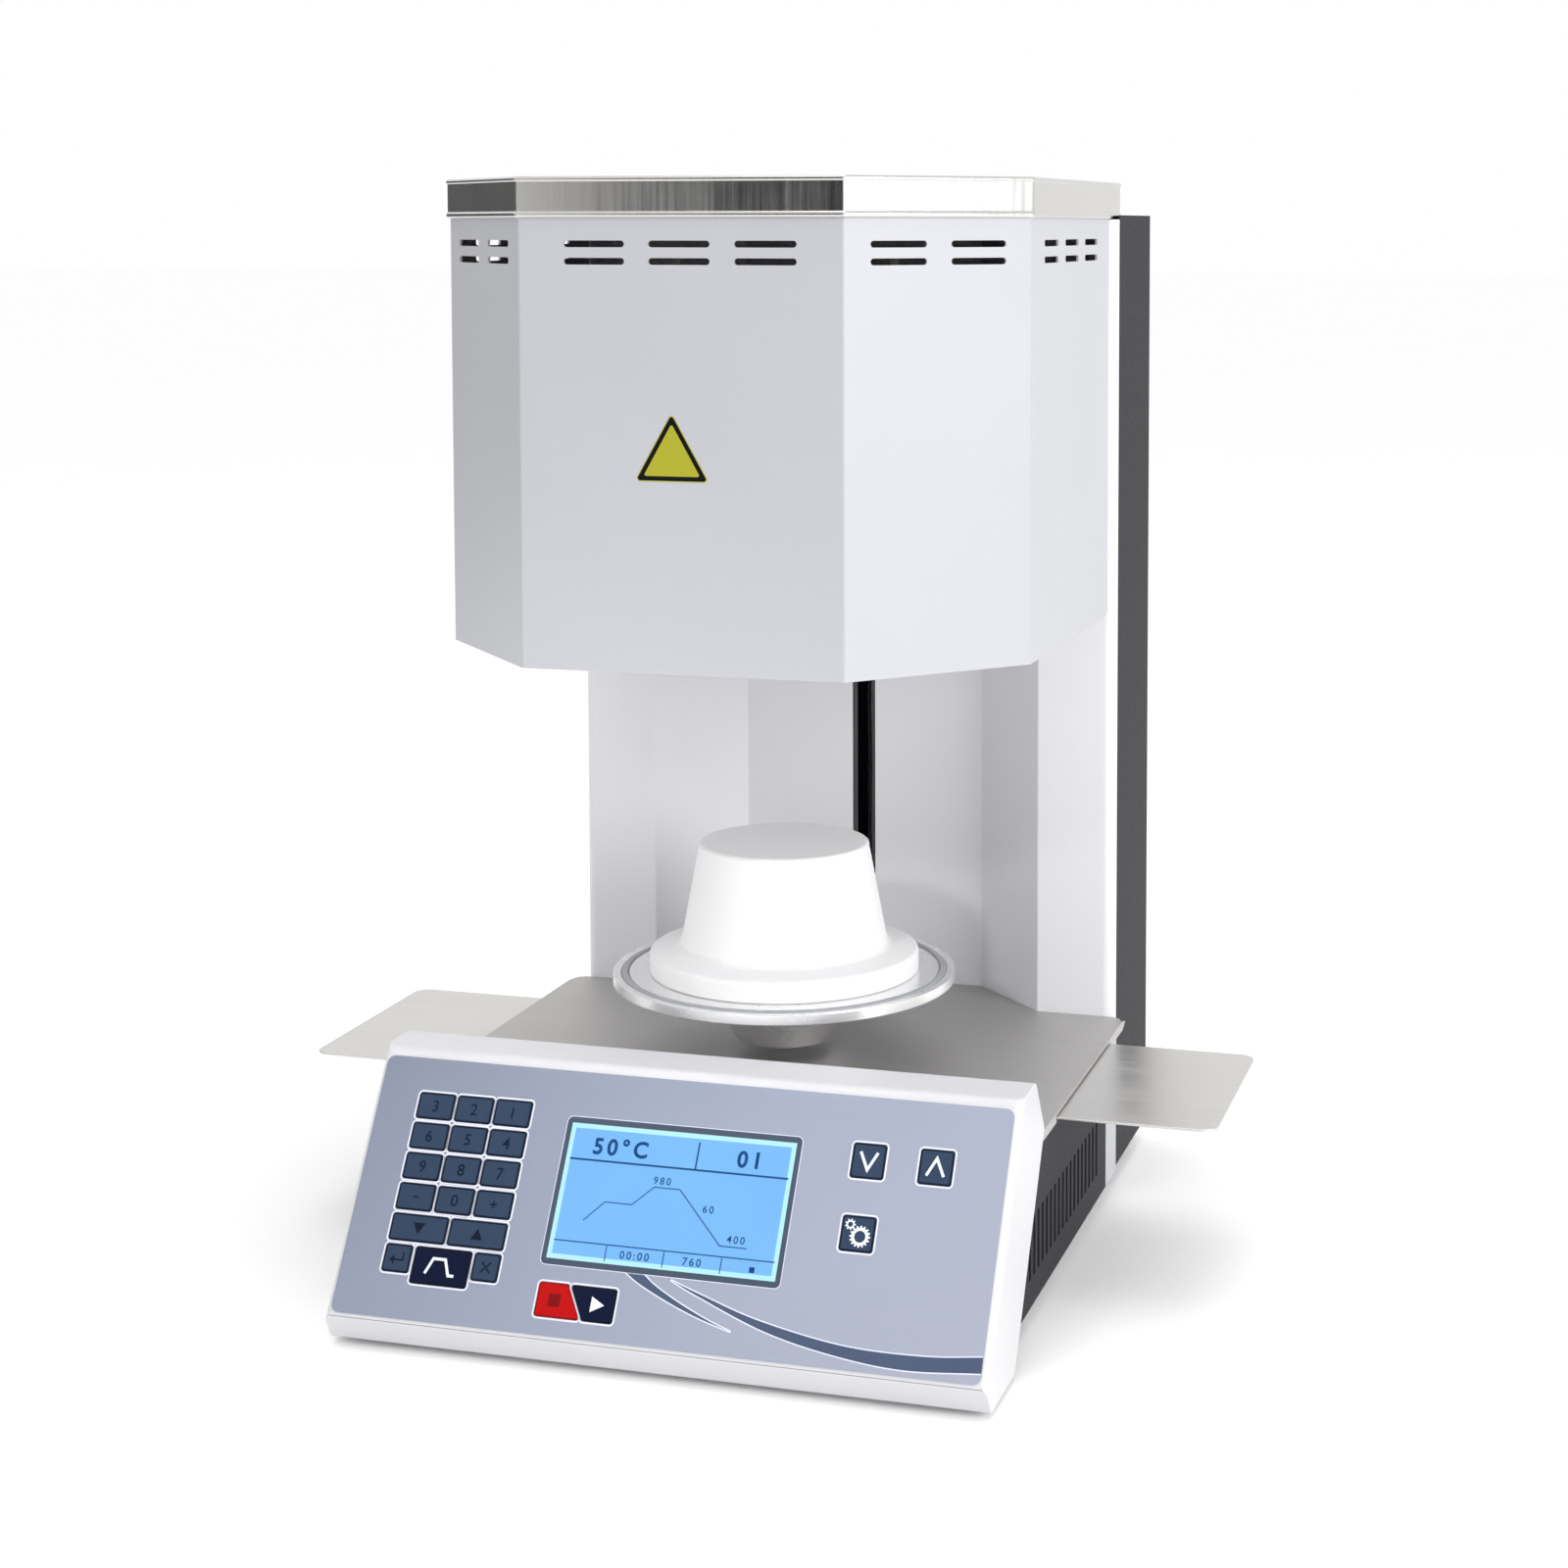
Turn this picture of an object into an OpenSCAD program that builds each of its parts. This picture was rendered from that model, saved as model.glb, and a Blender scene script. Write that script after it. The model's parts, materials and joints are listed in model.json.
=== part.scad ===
// Bench vacuum firing kiln with a lifting table, a muffle head and a keypad console.
// Z is up, the front faces -Y, and the origin is on the floor under the table's axis.

/* [Body] */
// Width of the base and of the column's rear shell
body_w = 315; // [300:1:330]
// Height of the feet
foot_h = 12; // [8:1:16]
// Height of the deck's top face
deck_z = 99.3; // [90:0.1:110]
// Width of the deck over its side lips
deck_w = 326; // [320:1:340]
// Depth of the column's front wings behind the table's axis
wing_y = 104; // [100:1:110]
// Depth of the column's recess behind the table's axis
recess_y = 145; // [135:1:150]
// Depth of the rear face behind the table's axis
rear_y = 202; // [196:1:204]
// Sheet thickness of the covers
sheet = 1.2; // [0.8:0.1:1.6]

/* [Head] */
// Width of the head
head_w = 303.4; // [290:0.2:310]
// Width of the head's front facet
head_facet_w = 162; // [140:1:180]
// Distance from the table's axis to the head's front facet
head_front = 152; // [140:1:160]
// Distance from the table's axis to the front end of the head's side faces
head_side_front = 76.5; // [60:0.5:90]
// Height of the head's lower edge
head_z = 323.2; // [310:0.1:335]
// Height of the head's top edge
head_top_z = 539; // [520:1:550]
// Height of the top cap's rim
cap_h = 19.5; // [15:0.5:25]

/* [Console] */
// Width of the console
console_w = 327; // [327:1:332]
// Slope of the console's face from the horizontal
face_slope = 58.2; // [55:0.1:61]
// Width of the membrane overlay
membrane_w = 320.2; // [300:0.1:321]
// Height of the membrane overlay along the slope
membrane_h = 123.9; // [120:0.1:125]
// Travel of a key
key_travel = 0.4; // [0.3:0.1:0.5]

/* [Firing table] */
// Diameter of the table plate
plate_d = 180.6; // [170:0.2:182]
// Thickness of the table plate
plate_t = 5.6; // [5:0.1:7]
// Height of the table plate's top face when it is down
plate_z = 143.2; // [140:0.1:146]
// Diameter of the pedestal's flange
pedestal_flange_d = 142; // [130:1:143]
// Diameter of the pedestal's top
pedestal_top_d = 90; // [80:1:92]
// Height of the whole pedestal
pedestal_h = 68; // [60:1:72]

/* [Cooling trays] */
// How far a pulled-out tray stands beyond the deck
tray_reach = 79; // [60:1:80]
// Front edge of the trays, along Y
tray_front = -65; // [-70:1:-60]
// Rear edge of the trays, along Y
tray_rear = 62; // [55:1:66]

/* [Hidden] */
$fn = 64;

// Base and deck
floor_z = foot_h;                     // underside of the base
half_body = body_w / 2;
half_deck = deck_w / 2;
deck_front = -94;
deck_under = deck_z - sheet;
lip_z = deck_z - 5;                   // lower edge of the deck's side lips
side_rear = 79;                       // rear end of the dark side panels
tray_gap = 1.2;                       // from the deck's underside down to a tray
tray_top = deck_under - tray_gap;
tray_inner = half_deck - 26;          // inner edge of a pulled-out tray
tray_corner = 8;
guide_wall = 3;

// Column
half_recess = 70.5;
half_mouth = 113;                     // where the wings fold into the recess
half_wing = half_body - 1.5;          // of the front panel and of the rear shell
wing_return = 8.5;                    // how far the front panel folds back at its sides
shell_front = wing_y + wing_return + 0.5;
shell_top = head_top_z + 1.8;
panel_t = 1.5;
column_top = head_top_z - 0.5;
slot_w = 13.6;
slot_low = deck_z + 0.4;
slot_high = 345;
seal_gap = 8.8;                       // between the two lips of the slot seal

// Head
half_head = head_w / 2;
half_facet = head_facet_w / 2;
vent_h = 3.2;
vent_rows = [head_z + 195.2, head_z + 203.4];
cap_overhang = 2;
cap_rear = 130;
bottom_hole_r = 93;

// Vacuum chamber
flange_z = head_z + panel_t;          // sealing face that the table meets
flange_t = 6;
flange_in_r = 74;
flange_out_r = 104;
chamber_r = 103;
chamber_wall = 3;
chamber_top = flange_z + 167.3;
lid_t = 5;
muffle_in_r = 52.5;
muffle_out_r = 62.5;
muffle_low = 358;
muffle_high = 458;
probe_r = 2.5;

// Table and lift
seal_proud = 0.6;
seal_clear = 0.3;
lift_travel = flange_z - plate_z - seal_proud - seal_clear;
seal_in_r = 82;
seal_out_r = 86;
plate_low = plate_z - plate_t;
hub_low = 106;
arm_w = 8;
arm_low = 110;
arm_high = 134;
arm_front = 18;
carriage_front = 153.5;
carriage_rear = 180;
carriage_low = 104;
carriage_high = 138;
rod_r = 5;
rod_x = 32;
rod_y = 166;
screw_r = 4;
screw_y = 166;
run_fit = 0.05;                       // radial clearance of the running fits
lower_plate_z = 66;
upper_plate_z = 380;
bearing_t = 8;
frame_x = 50;
frame_t = 4;
nut_r = 8;
nut_flange_r = 11;
motor_h = 28;
motor_box = 35;
gearbox_h = 14;

// Console face: its frame has X across, Y up the slope and Z out of the face
face_y = -204.9;
face_z = 18.5;
console_wall = 2.5;
overlay_t = 0.5;
key_proud = 0.4;                      // above the overlay
key_under = 0.6;                      // below the face
key_well = key_under + key_travel + 0.2;
key_gap = 0.3;
key_r = 1.2;
display_w = 117.7;
display_h = 68.4;
display_x = 0.5;
display_low = 33;

// Keypad grid
pad_left = -138.5;
pad_top = 107;
pad_key_w = 18.8;
pad_key_h = 12.5;
pad_pitch_x = 20.4;
pad_pitch_y = 14.65;

// Rear pocket
pocket_half_w = 112;
pocket_low = 26;
pocket_high = 94;
pocket_y = rear_y - 16;               // front face of the pocket's floor
pocket_t = 1.5;
inlet_x = -78;
inlet_z = 60;
port_x = 82;
port_z = 60;
port_r = 5;
port_end = 205.5;
rocker_z = inlet_z + 16;

// ---- Geometry helpers ----

function unit(v) = v / norm(v);
function left_of(a, b) = let (d = unit(b - a)) [-d[1], d[0]];

// Point of a path moved sideways by t, with mitred corners
function moved(path, i, t) =
    i == 0 ? path[0] + t * left_of(path[0], path[1])
    : i == len(path) - 1 ? path[i] + t * left_of(path[i - 1], path[i])
    : let (m = left_of(path[i - 1], path[i]) + left_of(path[i], path[i + 1]))
        path[i] + m * 2 * t / (m * m);

function offset_path(path, t) = [for (i = [0:len(path) - 1]) moved(path, i, t)];

function reversed(path) = [for (i = [len(path) - 1:-1:0]) path[i]];

// Outline of a folded sheet that follows a path
function ribbon(path, t) = concat(path, reversed(offset_path(path, t)));

// Arc of radius r that rounds the corner at b
function corner(a, b, c, r, n = 5) =
    let (
        u = unit(a - b),
        v = unit(c - b),
        half = acos(u * v) / 2,
        centre = b + unit(u + v) * r / sin(half),
        from = b + u * r / tan(half) - centre,
        to = b + v * r / tan(half) - centre,
        a0 = atan2(from[1], from[0]),
        swing = atan2(to[1], to[0]) - a0,
        turn = swing > 180 ? swing - 360 : swing < -180 ? swing + 360 : swing
    )
    [for (i = [0:n]) centre + r * [cos(a0 + turn * i / n), sin(a0 + turn * i / n)]];

// Open path with its inner corners rounded, and closed outline with all of them rounded
function soft_path(p, r) = concat(
    [p[0]],
    [for (i = [1:len(p) - 2]) each corner(p[i - 1], p[i], p[i + 1], r)],
    [p[len(p) - 1]]
);

function soft_outline(p, r) =
    let (n = len(p))
    [for (i = [0:n - 1]) each corner(p[(i + n - 1) % n], p[i], p[(i + 1) % n], is_list(r) ? r[i] : r)];

function mirrored(half) = concat(half, reversed([for (q = half) [-q[0], q[1]]]));

function rect(w, h) = [[-w / 2, -h / 2], [w / 2, -h / 2], [w / 2, h / 2], [-w / 2, h / 2]];

// Extrudes a [y, z] outline across the width
module across(w) {
    rotate([90, 0, 90])
        linear_extrude(w, center = true)
            children();
}

// Puts children into the frame of the console's face
module on_face() {
    translate([0, face_y, face_z])
        rotate([face_slope, 0, 0])
            children();
}

// Slot with round ends, along X and centred, in the XY plane
module stadium(len, h) {
    square([len - h, h], center = true);
    for (side = [-1, 1])
        translate([side * (len - h) / 2, 0])
            circle(h / 2);
}

module ring(r_in, r_out, low, high) {
    translate([0, 0, low])
        difference() {
            cylinder(r = r_out, h = high - low, $fn = 96);
            translate([0, 0, -1])
                cylinder(r = r_in, h = high - low + 2, $fn = 96);
        }
}

// ---- Console ----

face_dir = [cos(face_slope), sin(face_slope)];
face_start = [face_y, face_z];
console_back_low = [-154, 3];
console_back_high = [-94, 101];
console_profile = [
    face_start + 128.5 * face_dir,
    face_start - 1.5 * face_dir,
    [-198, 3],
    console_back_low,
    console_back_high,
    [-112, 129]
];
console_inner = offset_path(concat([console_profile[5]], console_profile, [console_profile[0]]),
                            console_wall);

module control_housing() {
    hollow = [for (i = [1:3]) console_inner[i]];
    back_low = console_inner[4];
    back_high = console_inner[5];
    top_rear = console_inner[6];
    back_cut = 7;                         // beyond the open back
    deep = 160;                           // behind the sloped face
    tall = 260;                           // more than the sloped face
    color("whitesmoke")
        difference() {
            intersection() {
                across(console_w + 2)
                    polygon(soft_outline(console_profile, [4, 5, 3, 2, 2, 5]));
                on_face()
                    translate([0, tall - 80, 0])
                        rotate([90, 0, 0])
                            linear_extrude(tall)
                                polygon(soft_path([
                                    [-console_w / 2, -deep],
                                    [-console_w / 2, 0],
                                    [console_w / 2, 0],
                                    [console_w / 2, -deep]
                                ], 5));
            }
            across(console_w - 2 * console_wall)
                polygon(concat(hollow, [
                    back_low,
                    back_low + [back_cut, 0],
                    back_high + back_cut * unit(console_back_high - console_profile[5]),
                    back_high,
                    top_rear
                ]));
            on_face() {
                translate([display_x - display_w / 2 - 0.2, display_low - 0.2, -10])
                    cube([display_w + 0.4, display_h + 0.4, 20]);
                key_wells(-key_well);
            }
        }
}

module control_back_cover() {
    end_gap = 2;
    low = console_inner[4];
    high = console_inner[5];
    along = unit(high - low);
    color("gainsboro")
        across(console_w - 2 * console_wall - 0.6)
            polygon(ribbon([low + end_gap * along, high - end_gap * along], -1.5));
}

module membrane_overlay() {
    color("lightsteelblue")
        on_face()
            difference() {
                linear_extrude(overlay_t)
                    translate([0, membrane_h / 2])
                        polygon(soft_outline(rect(membrane_w, membrane_h), 4));
                translate([display_x - display_w / 2, display_low, -1])
                    cube([display_w, display_h, 3]);
                key_wells(-1);
            }
}

module display_module() {
    back = 9;
    color("skyblue")
        on_face()
            translate([display_x, display_low + display_h / 2, 0]) {
                translate([0, 0, (overlay_t - console_wall) / 2 - 0.1])
                    cube([display_w - 0.2, display_h - 0.2, overlay_t + console_wall - 0.2],
                         center = true);
                translate([0, 0, -console_wall - back / 2])
                    cube([display_w + 14, display_h + 12, back - 0.4], center = true);
            }
}

module power_board() {
    board = [180, 120, 1.6];
    post_h = 8;
    post_inset = 6;
    top = post_h + board[2];
    transformer = [52, 46, 42];
    heat_sink = [30, 60, 28];
    capacitor_pitch = 26;
    color("seagreen")
        translate([-120, -50, floor_z + sheet]) {
            translate([0, 0, post_h])
                cube(board);
            for (x = [post_inset, board[0] - post_inset], y = [post_inset, board[1] - post_inset])
                translate([x, y, 0])
                    cylinder(r = 3, h = post_h);
            translate([14, 20, top])
                cube(transformer);
            translate([84, 16, top])
                cube(heat_sink);
            for (i = [0:2])
                translate([130, 24 + capacitor_pitch * i, top])
                    cylinder(r = 9, h = 32);
        }
}

// ---- Keys ----

// Lower left and upper right corner of a keypad key
function pad_box(column, row) =
    let (x = pad_left + column * pad_pitch_x, s = pad_top - row * pad_pitch_y)
    [[x, s - pad_key_h], [x + pad_key_w, s]];

function box_points(b) = [b[0], [b[1][0], b[0][1]], b[1], [b[0][0], b[1][1]]];

wide_key_w = 29;
wide_low = 36;
arrow_down = [[pad_left, wide_low], [pad_left + wide_key_w, wide_low + pad_key_h]];
arrow_up = [[-108, wide_low], [-79, wide_low + pad_key_h]];
enter_box = [[pad_left, 21.2], [-124.8, 34]];
program_box = [[-123, 17], [-94, 34]];
escape_box = [[-92.3, 21.2], [-79, 34]];
stop_shape = [[-57, 8.5], [-34, 8.5], [-42.6, 24], [-57, 24]];
start_shape = [[-33, 8.5], [-18, 8.5], [-18, 24], [-41.5, 24]];
table_down_box = [[85.4, 85.9], [101.4, 101.9]];
table_up_box = [[118.2, 85.9], [134.2, 101.9]];
settings_box = [[85.4, 52.4], [101.4, 68.4]];

KEY_SHAPES = concat(
    [for (column = [0:2], row = [0:3]) box_points(pad_box(column, row))],
    [for (b = [arrow_down, arrow_up, enter_box, program_box, escape_box,
               table_down_box, table_up_box, settings_box]) box_points(b)],
    [stop_shape, start_shape]
);

// Openings for all the keys, from a depth up through the overlay
module key_wells(low) {
    for (shape = KEY_SHAPES)
        translate([0, 0, low])
            linear_extrude(8)
                polygon(grown(shape));
}

function grown(shape) =
    let (n = len(shape), closed = concat([shape[n - 1]], shape, [shape[0]]))
    [for (i = [1:n]) moved(closed, i, -key_gap)];

module key_cap(shape, tint) {
    color(tint)
        on_face()
            translate([0, 0, -key_under])
                linear_extrude(key_under + overlay_t + key_proud)
                    polygon(soft_outline(shape, key_r));
}

module pad_key(column, row) {
    key_cap(box_points(pad_box(column, row)), "slategray");
}

// ---- Base ----

module base_chassis() {
    strip_t = 1.5;
    strip_rear = 106.2;
    strip_y = (side_rear + strip_rear) / 2;
    strip_len = strip_rear - side_rear;
    floor_front = -146;
    floor_half = half_wing - sheet - 0.3;
    floor_rear = rear_y - sheet - 0.5;
    flange = half_body - floor_half + 5;
    slots = 12;
    slot_pitch = 16;
    slot = [6, 60, 4];
    color("whitesmoke") {
        difference() {
            translate([-floor_half, floor_front, floor_z])
                cube([2 * floor_half, floor_rear - floor_front, sheet]);
            for (i = [0:slots - 1])
                translate([slot_pitch * (i - slots / 2) + 8, 20, floor_z - 1])
                    cube(slot);
        }
        for (side = [-1, 1]) {
            translate([side * (half_body - strip_t / 2), strip_y, (floor_z + lip_z) / 2])
                cube([strip_t, strip_len, lip_z - floor_z], center = true);
            translate([side * (half_body - flange / 2), strip_y, floor_z + sheet / 2])
                cube([flange, strip_len, sheet], center = true);
        }
    }
}

module base_side_panels() {
    slots = 18;
    pitch = 9;
    last_slot = 52;
    slot_low_z = 26.5;
    slot_high_z = 56;
    gap = 0.3;
    color("dimgray")
        for (side = [-1, 1])
            translate([side * (half_body - sheet / 2), 0, 0])
                difference() {
                    across(sheet)
                        polygon([
                            [-147, floor_z],
                            [side_rear - gap, floor_z],
                            [side_rear - gap, lip_z - gap],
                            [-97, lip_z - gap]
                        ]);
                    for (i = [0:slots - 1])
                        translate([-2, last_slot - pitch * i, slot_low_z])
                            cube([4, 4, slot_high_z - slot_low_z]);
                }
}

module deck_plate() {
    lip_rear = 103.5;
    clear = 0.4;
    tray_slot_low = -66;
    tray_slot_high = 63;
    rear = wing_y - clear;
    outline = mirrored([
        [half_deck, deck_front],
        [half_deck, 94],
        [half_deck - 3, rear - 2],
        [half_deck - 7, rear],
        [half_mouth - 0.2, rear],
        [half_recess - 0.2, recess_y - clear]
    ]);
    color("silver") {
        translate([0, 0, deck_under])
            linear_extrude(sheet)
                polygon(outline);
        for (side = [-1, 1])
            translate([side * (half_deck - sheet / 2), 0, 0])
                difference() {
                    across(sheet)
                        polygon([
                            [deck_front, lip_z],
                            [lip_rear - 7, lip_z],
                            [lip_rear, lip_z + 3],
                            [lip_rear, deck_z - 1.6],
                            [94, deck_z],
                            [deck_front, deck_z]
                        ]);
                    translate([-3, tray_slot_low, lip_z - 1])
                        cube([6, tray_slot_high - tray_slot_low, tray_top + 0.5 - lip_z + 1]);
                }
    }
}

module tray_guides() {
    ledge = 6;
    ledge_top = tray_top - sheet - 0.3;
    length = body_w - 6;
    color("darkgray")
        for (end = [-1, 1]) {
            edge = end < 0 ? tray_front - 0.5 : tray_rear + 0.5;
            translate([-length / 2, end < 0 ? edge - guide_wall : edge, ledge_top - sheet])
                cube([length, guide_wall, deck_under - ledge_top + sheet]);
            translate([-length / 2, end < 0 ? edge - guide_wall : edge - ledge + guide_wall,
                       ledge_top - sheet])
                cube([length, ledge, sheet]);
        }
}

module feet() {
    color("black")
        for (x = [-128, 128], y = [-112, 172])
            translate([x, y, 0]) {
                cylinder(r1 = 13, r2 = 15, h = 3);
                translate([0, 0, 3])
                    cylinder(r = 15, h = foot_h - 3);
            }
}

// Sheet tray, drawn for the right side
module tray() {
    outer = half_deck + tray_reach;
    color("silver")
        translate([0, 0, tray_top - sheet])
            linear_extrude(sheet)
                polygon(soft_outline([
                    [tray_inner, tray_front],
                    [outer, tray_front],
                    [outer, tray_rear],
                    [tray_inner, tray_rear]
                ], [2, tray_corner, tray_corner, 2]));
}

module tray_left() {
    mirror([1, 0, 0])
        tray();
}

module tray_right() {
    tray();
}

// ---- Column ----

module column_front_panel() {
    fold_r = 6;
    low = floor_z + sheet;
    half = concat(
        [[half_wing, wing_y + wing_return]],
        corner([half_wing, wing_y + wing_return], [half_wing, wing_y], [half_mouth, wing_y], fold_r),
        [[half_mouth, wing_y], [half_recess, recess_y]]
    );
    color("gainsboro")
        difference() {
            translate([0, 0, low])
                linear_extrude(column_top - low)
                    polygon(ribbon(mirrored(half), -panel_t));
            translate([-slot_w / 2, recess_y - 5, slot_low])
                cube([slot_w, 10, slot_high - slot_low]);
        }
}

module slot_seals() {
    depth = 2;
    overlap = 4;
    color("black")
        for (side = [-1, 1])
            translate([side * (seal_gap / 2 + (slot_w - seal_gap) / 4 + overlap / 2),
                       recess_y + panel_t + depth / 2, (slot_low + slot_high) / 2])
                cube([(slot_w - seal_gap) / 2 + overlap, depth, slot_high - slot_low], center = true);
}

module rear_shell() {
    edge_r = 3;
    outline = soft_path([
        [half_wing, shell_front],
        [half_wing, rear_y],
        [-half_wing, rear_y],
        [-half_wing, shell_front]
    ], edge_r);
    roof_front = cap_rear + 0.5;
    louvre_columns = [-60, 0, 60];
    louvre_rows = 6;
    louvre_pitch = 10;
    louvre_low = 440;
    louvre = [44, 4];
    color("dimgray")
        difference() {
            union() {
                translate([0, 0, floor_z])
                    linear_extrude(shell_top - floor_z)
                        polygon(ribbon(outline, sheet));
                translate([0, 0, shell_top - sheet])
                    linear_extrude(sheet)
                        polygon(concat(
                            [[half_wing, roof_front]],
                            [for (i = [1:len(outline) - 2]) outline[i]],
                            [[-half_wing, roof_front]]
                        ));
            }
            translate([-pocket_half_w, rear_y - 5, pocket_low])
                cube([2 * pocket_half_w, 10, pocket_high - pocket_low]);
            for (x = louvre_columns, i = [0:louvre_rows - 1])
                translate([x, rear_y + 2, louvre_low + louvre_pitch * i])
                    rotate([90, 0, 0])
                        linear_extrude(6)
                            stadium(louvre[0], louvre[1]);
        }
}

module column_frame() {
    low = floor_z + sheet;
    upright_top = 520;
    color("darkslategray")
        difference() {
            union() {
                for (side = [-1, 1]) {
                    translate([side * (frame_x + frame_t / 2), 165, (low + upright_top) / 2])
                        cube([frame_t, 36, upright_top - low], center = true);
                    translate([side * (frame_x + 9), 148.5, (low + upright_top) / 2])
                        cube([18, 3, upright_top - low], center = true);
                }
                for (z = [lower_plate_z, upper_plate_z])
                    translate([-frame_x - 0.5, 150, z])
                        cube([2 * frame_x + 1, 33, bearing_t]);
            }
            for (x = [-rod_x, rod_x])
                translate([x, rod_y, lower_plate_z - 10])
                    cylinder(r = rod_r, h = upper_plate_z - lower_plate_z + 30);
            translate([0, screw_y, lower_plate_z - 10])
                cylinder(r = screw_r + run_fit, h = upper_plate_z - lower_plate_z + 30);
        }
}

module guide_rods() {
    color("silver")
        for (x = [-rod_x, rod_x])
            translate([x, rod_y, lower_plate_z])
                cylinder(r = rod_r, h = upper_plate_z + bearing_t - lower_plate_z);
}

module gear_motor() {
    low = floor_z + sheet;
    half_box = motor_box / 2;
    color("darkgray") {
        translate([0, screw_y, low])
            cylinder(r = half_box + 0.5, h = motor_h);
        translate([-half_box, screw_y - half_box, low + motor_h])
            cube([motor_box, motor_box, gearbox_h]);
    }
}

module lead_screw() {
    low = floor_z + sheet + motor_h + gearbox_h + 0.5;
    coupling_r = 7;
    coupling_h = 8;
    color("silver") {
        translate([0, screw_y, low])
            cylinder(r = screw_r, h = upper_plate_z + bearing_t + 4 - low);
        translate([0, screw_y, low])
            cylinder(r = coupling_r, h = coupling_h);
    }
}

// ---- Lift and table ----

module lead_nut() {
    color("goldenrod")
        translate([0, screw_y, carriage_low])
            difference() {
                union() {
                    cylinder(r = nut_r, h = carriage_high - carriage_low);
                    translate([0, 0, carriage_high - carriage_low])
                        cylinder(r = nut_flange_r, h = 4);
                }
                translate([0, 0, -1])
                    cylinder(r = screw_r + run_fit, h = 60);
            }
}

module lift_carriage() {
    half_w = rod_x + 11;
    color("lightgray")
        difference() {
            translate([-half_w, carriage_front, carriage_low])
                cube([2 * half_w, carriage_rear - carriage_front, carriage_high - carriage_low]);
            for (x = [-rod_x, rod_x])
                translate([x, rod_y, carriage_low - 1])
                    cylinder(r = rod_r + run_fit, h = 60);
            translate([0, screw_y, carriage_low - 1])
                cylinder(r = nut_r, h = 60);
        }
}

module lift_arm() {
    root_low = carriage_low + 2;
    color("silver") {
        translate([-arm_w / 2, arm_front, arm_low])
            cube([arm_w, carriage_front - arm_front, arm_high - arm_low]);
        translate([-16, carriage_front - 4, root_low])
            cube([32, 4, carriage_high - root_low - 2]);
    }
}

module table_hub() {
    top_r = 38;
    bottom_r = 26;
    edge = corner([0, hub_low], [bottom_r, hub_low], [top_r, hub_low + 22], 3);
    color("silver")
        difference() {
            rotate_extrude($fn = 96)
                polygon(concat(
                    [[0, hub_low]],
                    edge,
                    [[top_r, hub_low + 22], [top_r, plate_low], [0, plate_low]]
                ));
            translate([-arm_w / 2, arm_front, arm_low])
                cube([arm_w, 40, arm_high - arm_low]);
        }
}

module table_plate() {
    chamfer = 0.6;
    r = plate_d / 2;
    groove = 2;
    color("lightgray")
        rotate_extrude($fn = 128)
            polygon([
                [0, plate_low],
                [r - chamfer, plate_low],
                [r, plate_low + chamfer],
                [r, plate_z - chamfer],
                [r - chamfer, plate_z],
                [seal_out_r, plate_z],
                [seal_out_r, plate_z - groove],
                [seal_in_r, plate_z - groove],
                [seal_in_r, plate_z],
                [0, plate_z]
            ]);
}

module seal_ring() {
    groove = 2;
    color("dimgray")
        ring(seal_in_r, seal_out_r, plate_z - groove, plate_z + seal_proud);
}

module firing_pedestal() {
    flange_r = pedestal_flange_d / 2;
    flange_edge = 11.6;
    flange_root = 13.6;
    base_r = 54;
    top_r = pedestal_top_d / 2;
    outline = [
        [0, 0],
        [flange_r, 0],
        [flange_r, flange_edge],
        [base_r + 1, flange_root],
        [top_r, pedestal_h],
        [0, pedestal_h]
    ];
    color("white")
        translate([0, 0, plate_z])
            rotate_extrude($fn = 128)
                polygon(concat(
                    [outline[0]],
                    corner(outline[0], outline[1], outline[2], 0.8, 2),
                    corner(outline[1], outline[2], outline[3], 2, 4),
                    corner(outline[2], outline[3], outline[4], 2.5, 4),
                    corner(outline[3], outline[4], outline[5], 1.2, 3),
                    [outline[5]]
                ));
}

// ---- Head ----

head_half = [
    [half_head, wing_y - 0.3],
    [half_head, -head_side_front],
    [half_facet, -head_front]
];
head_corners = reversed(mirrored(head_half));
bend_r = 2.2;
head_path = soft_path(head_corners, bend_r);

// Vent slots through one face: the face starts at p, runs towards q, and has slots at offsets s
module face_vents(p, q, starts, len) {
    turn = atan2(q[1] - p[1], q[0] - p[0]);
    for (z = vent_rows, s = starts)
        translate([p[0], p[1], z])
            rotate([90, 0, turn])
                translate([s + len / 2, 0, -6])
                    linear_extrude(12)
                        stadium(len, vent_h);
}

module head_housing() {
    top_lip = 12;
    front_vents = [-57.8, -15.1, 27.6];   // where each slot starts, from the middle of the front
    slant_vents = [14.3, 58.4];           // from the front end of the slanting face
    side_vents = [27.9, 74.2, 120.4];     // from the front end of the side face
    vent_w = 30.6;
    color("white")
        difference() {
            union() {
                translate([0, 0, head_z])
                    linear_extrude(head_top_z - head_z)
                        polygon(ribbon(head_path, sheet));
                translate([0, 0, head_top_z - sheet])
                    linear_extrude(sheet)
                        polygon(concat(head_path, reversed(offset_path(head_corners, top_lip))));
            }
            face_vents([0, -head_front], [half_facet, -head_front], front_vents, vent_w);
            for (side = [-1, 1]) {
                face_vents([side * half_facet, -head_front], [side * half_head, -head_side_front],
                           slant_vents, vent_w);
                face_vents([side * half_head, -head_side_front], [side * half_head, wing_y],
                           side_vents, vent_w);
            }
        }
}

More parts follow.
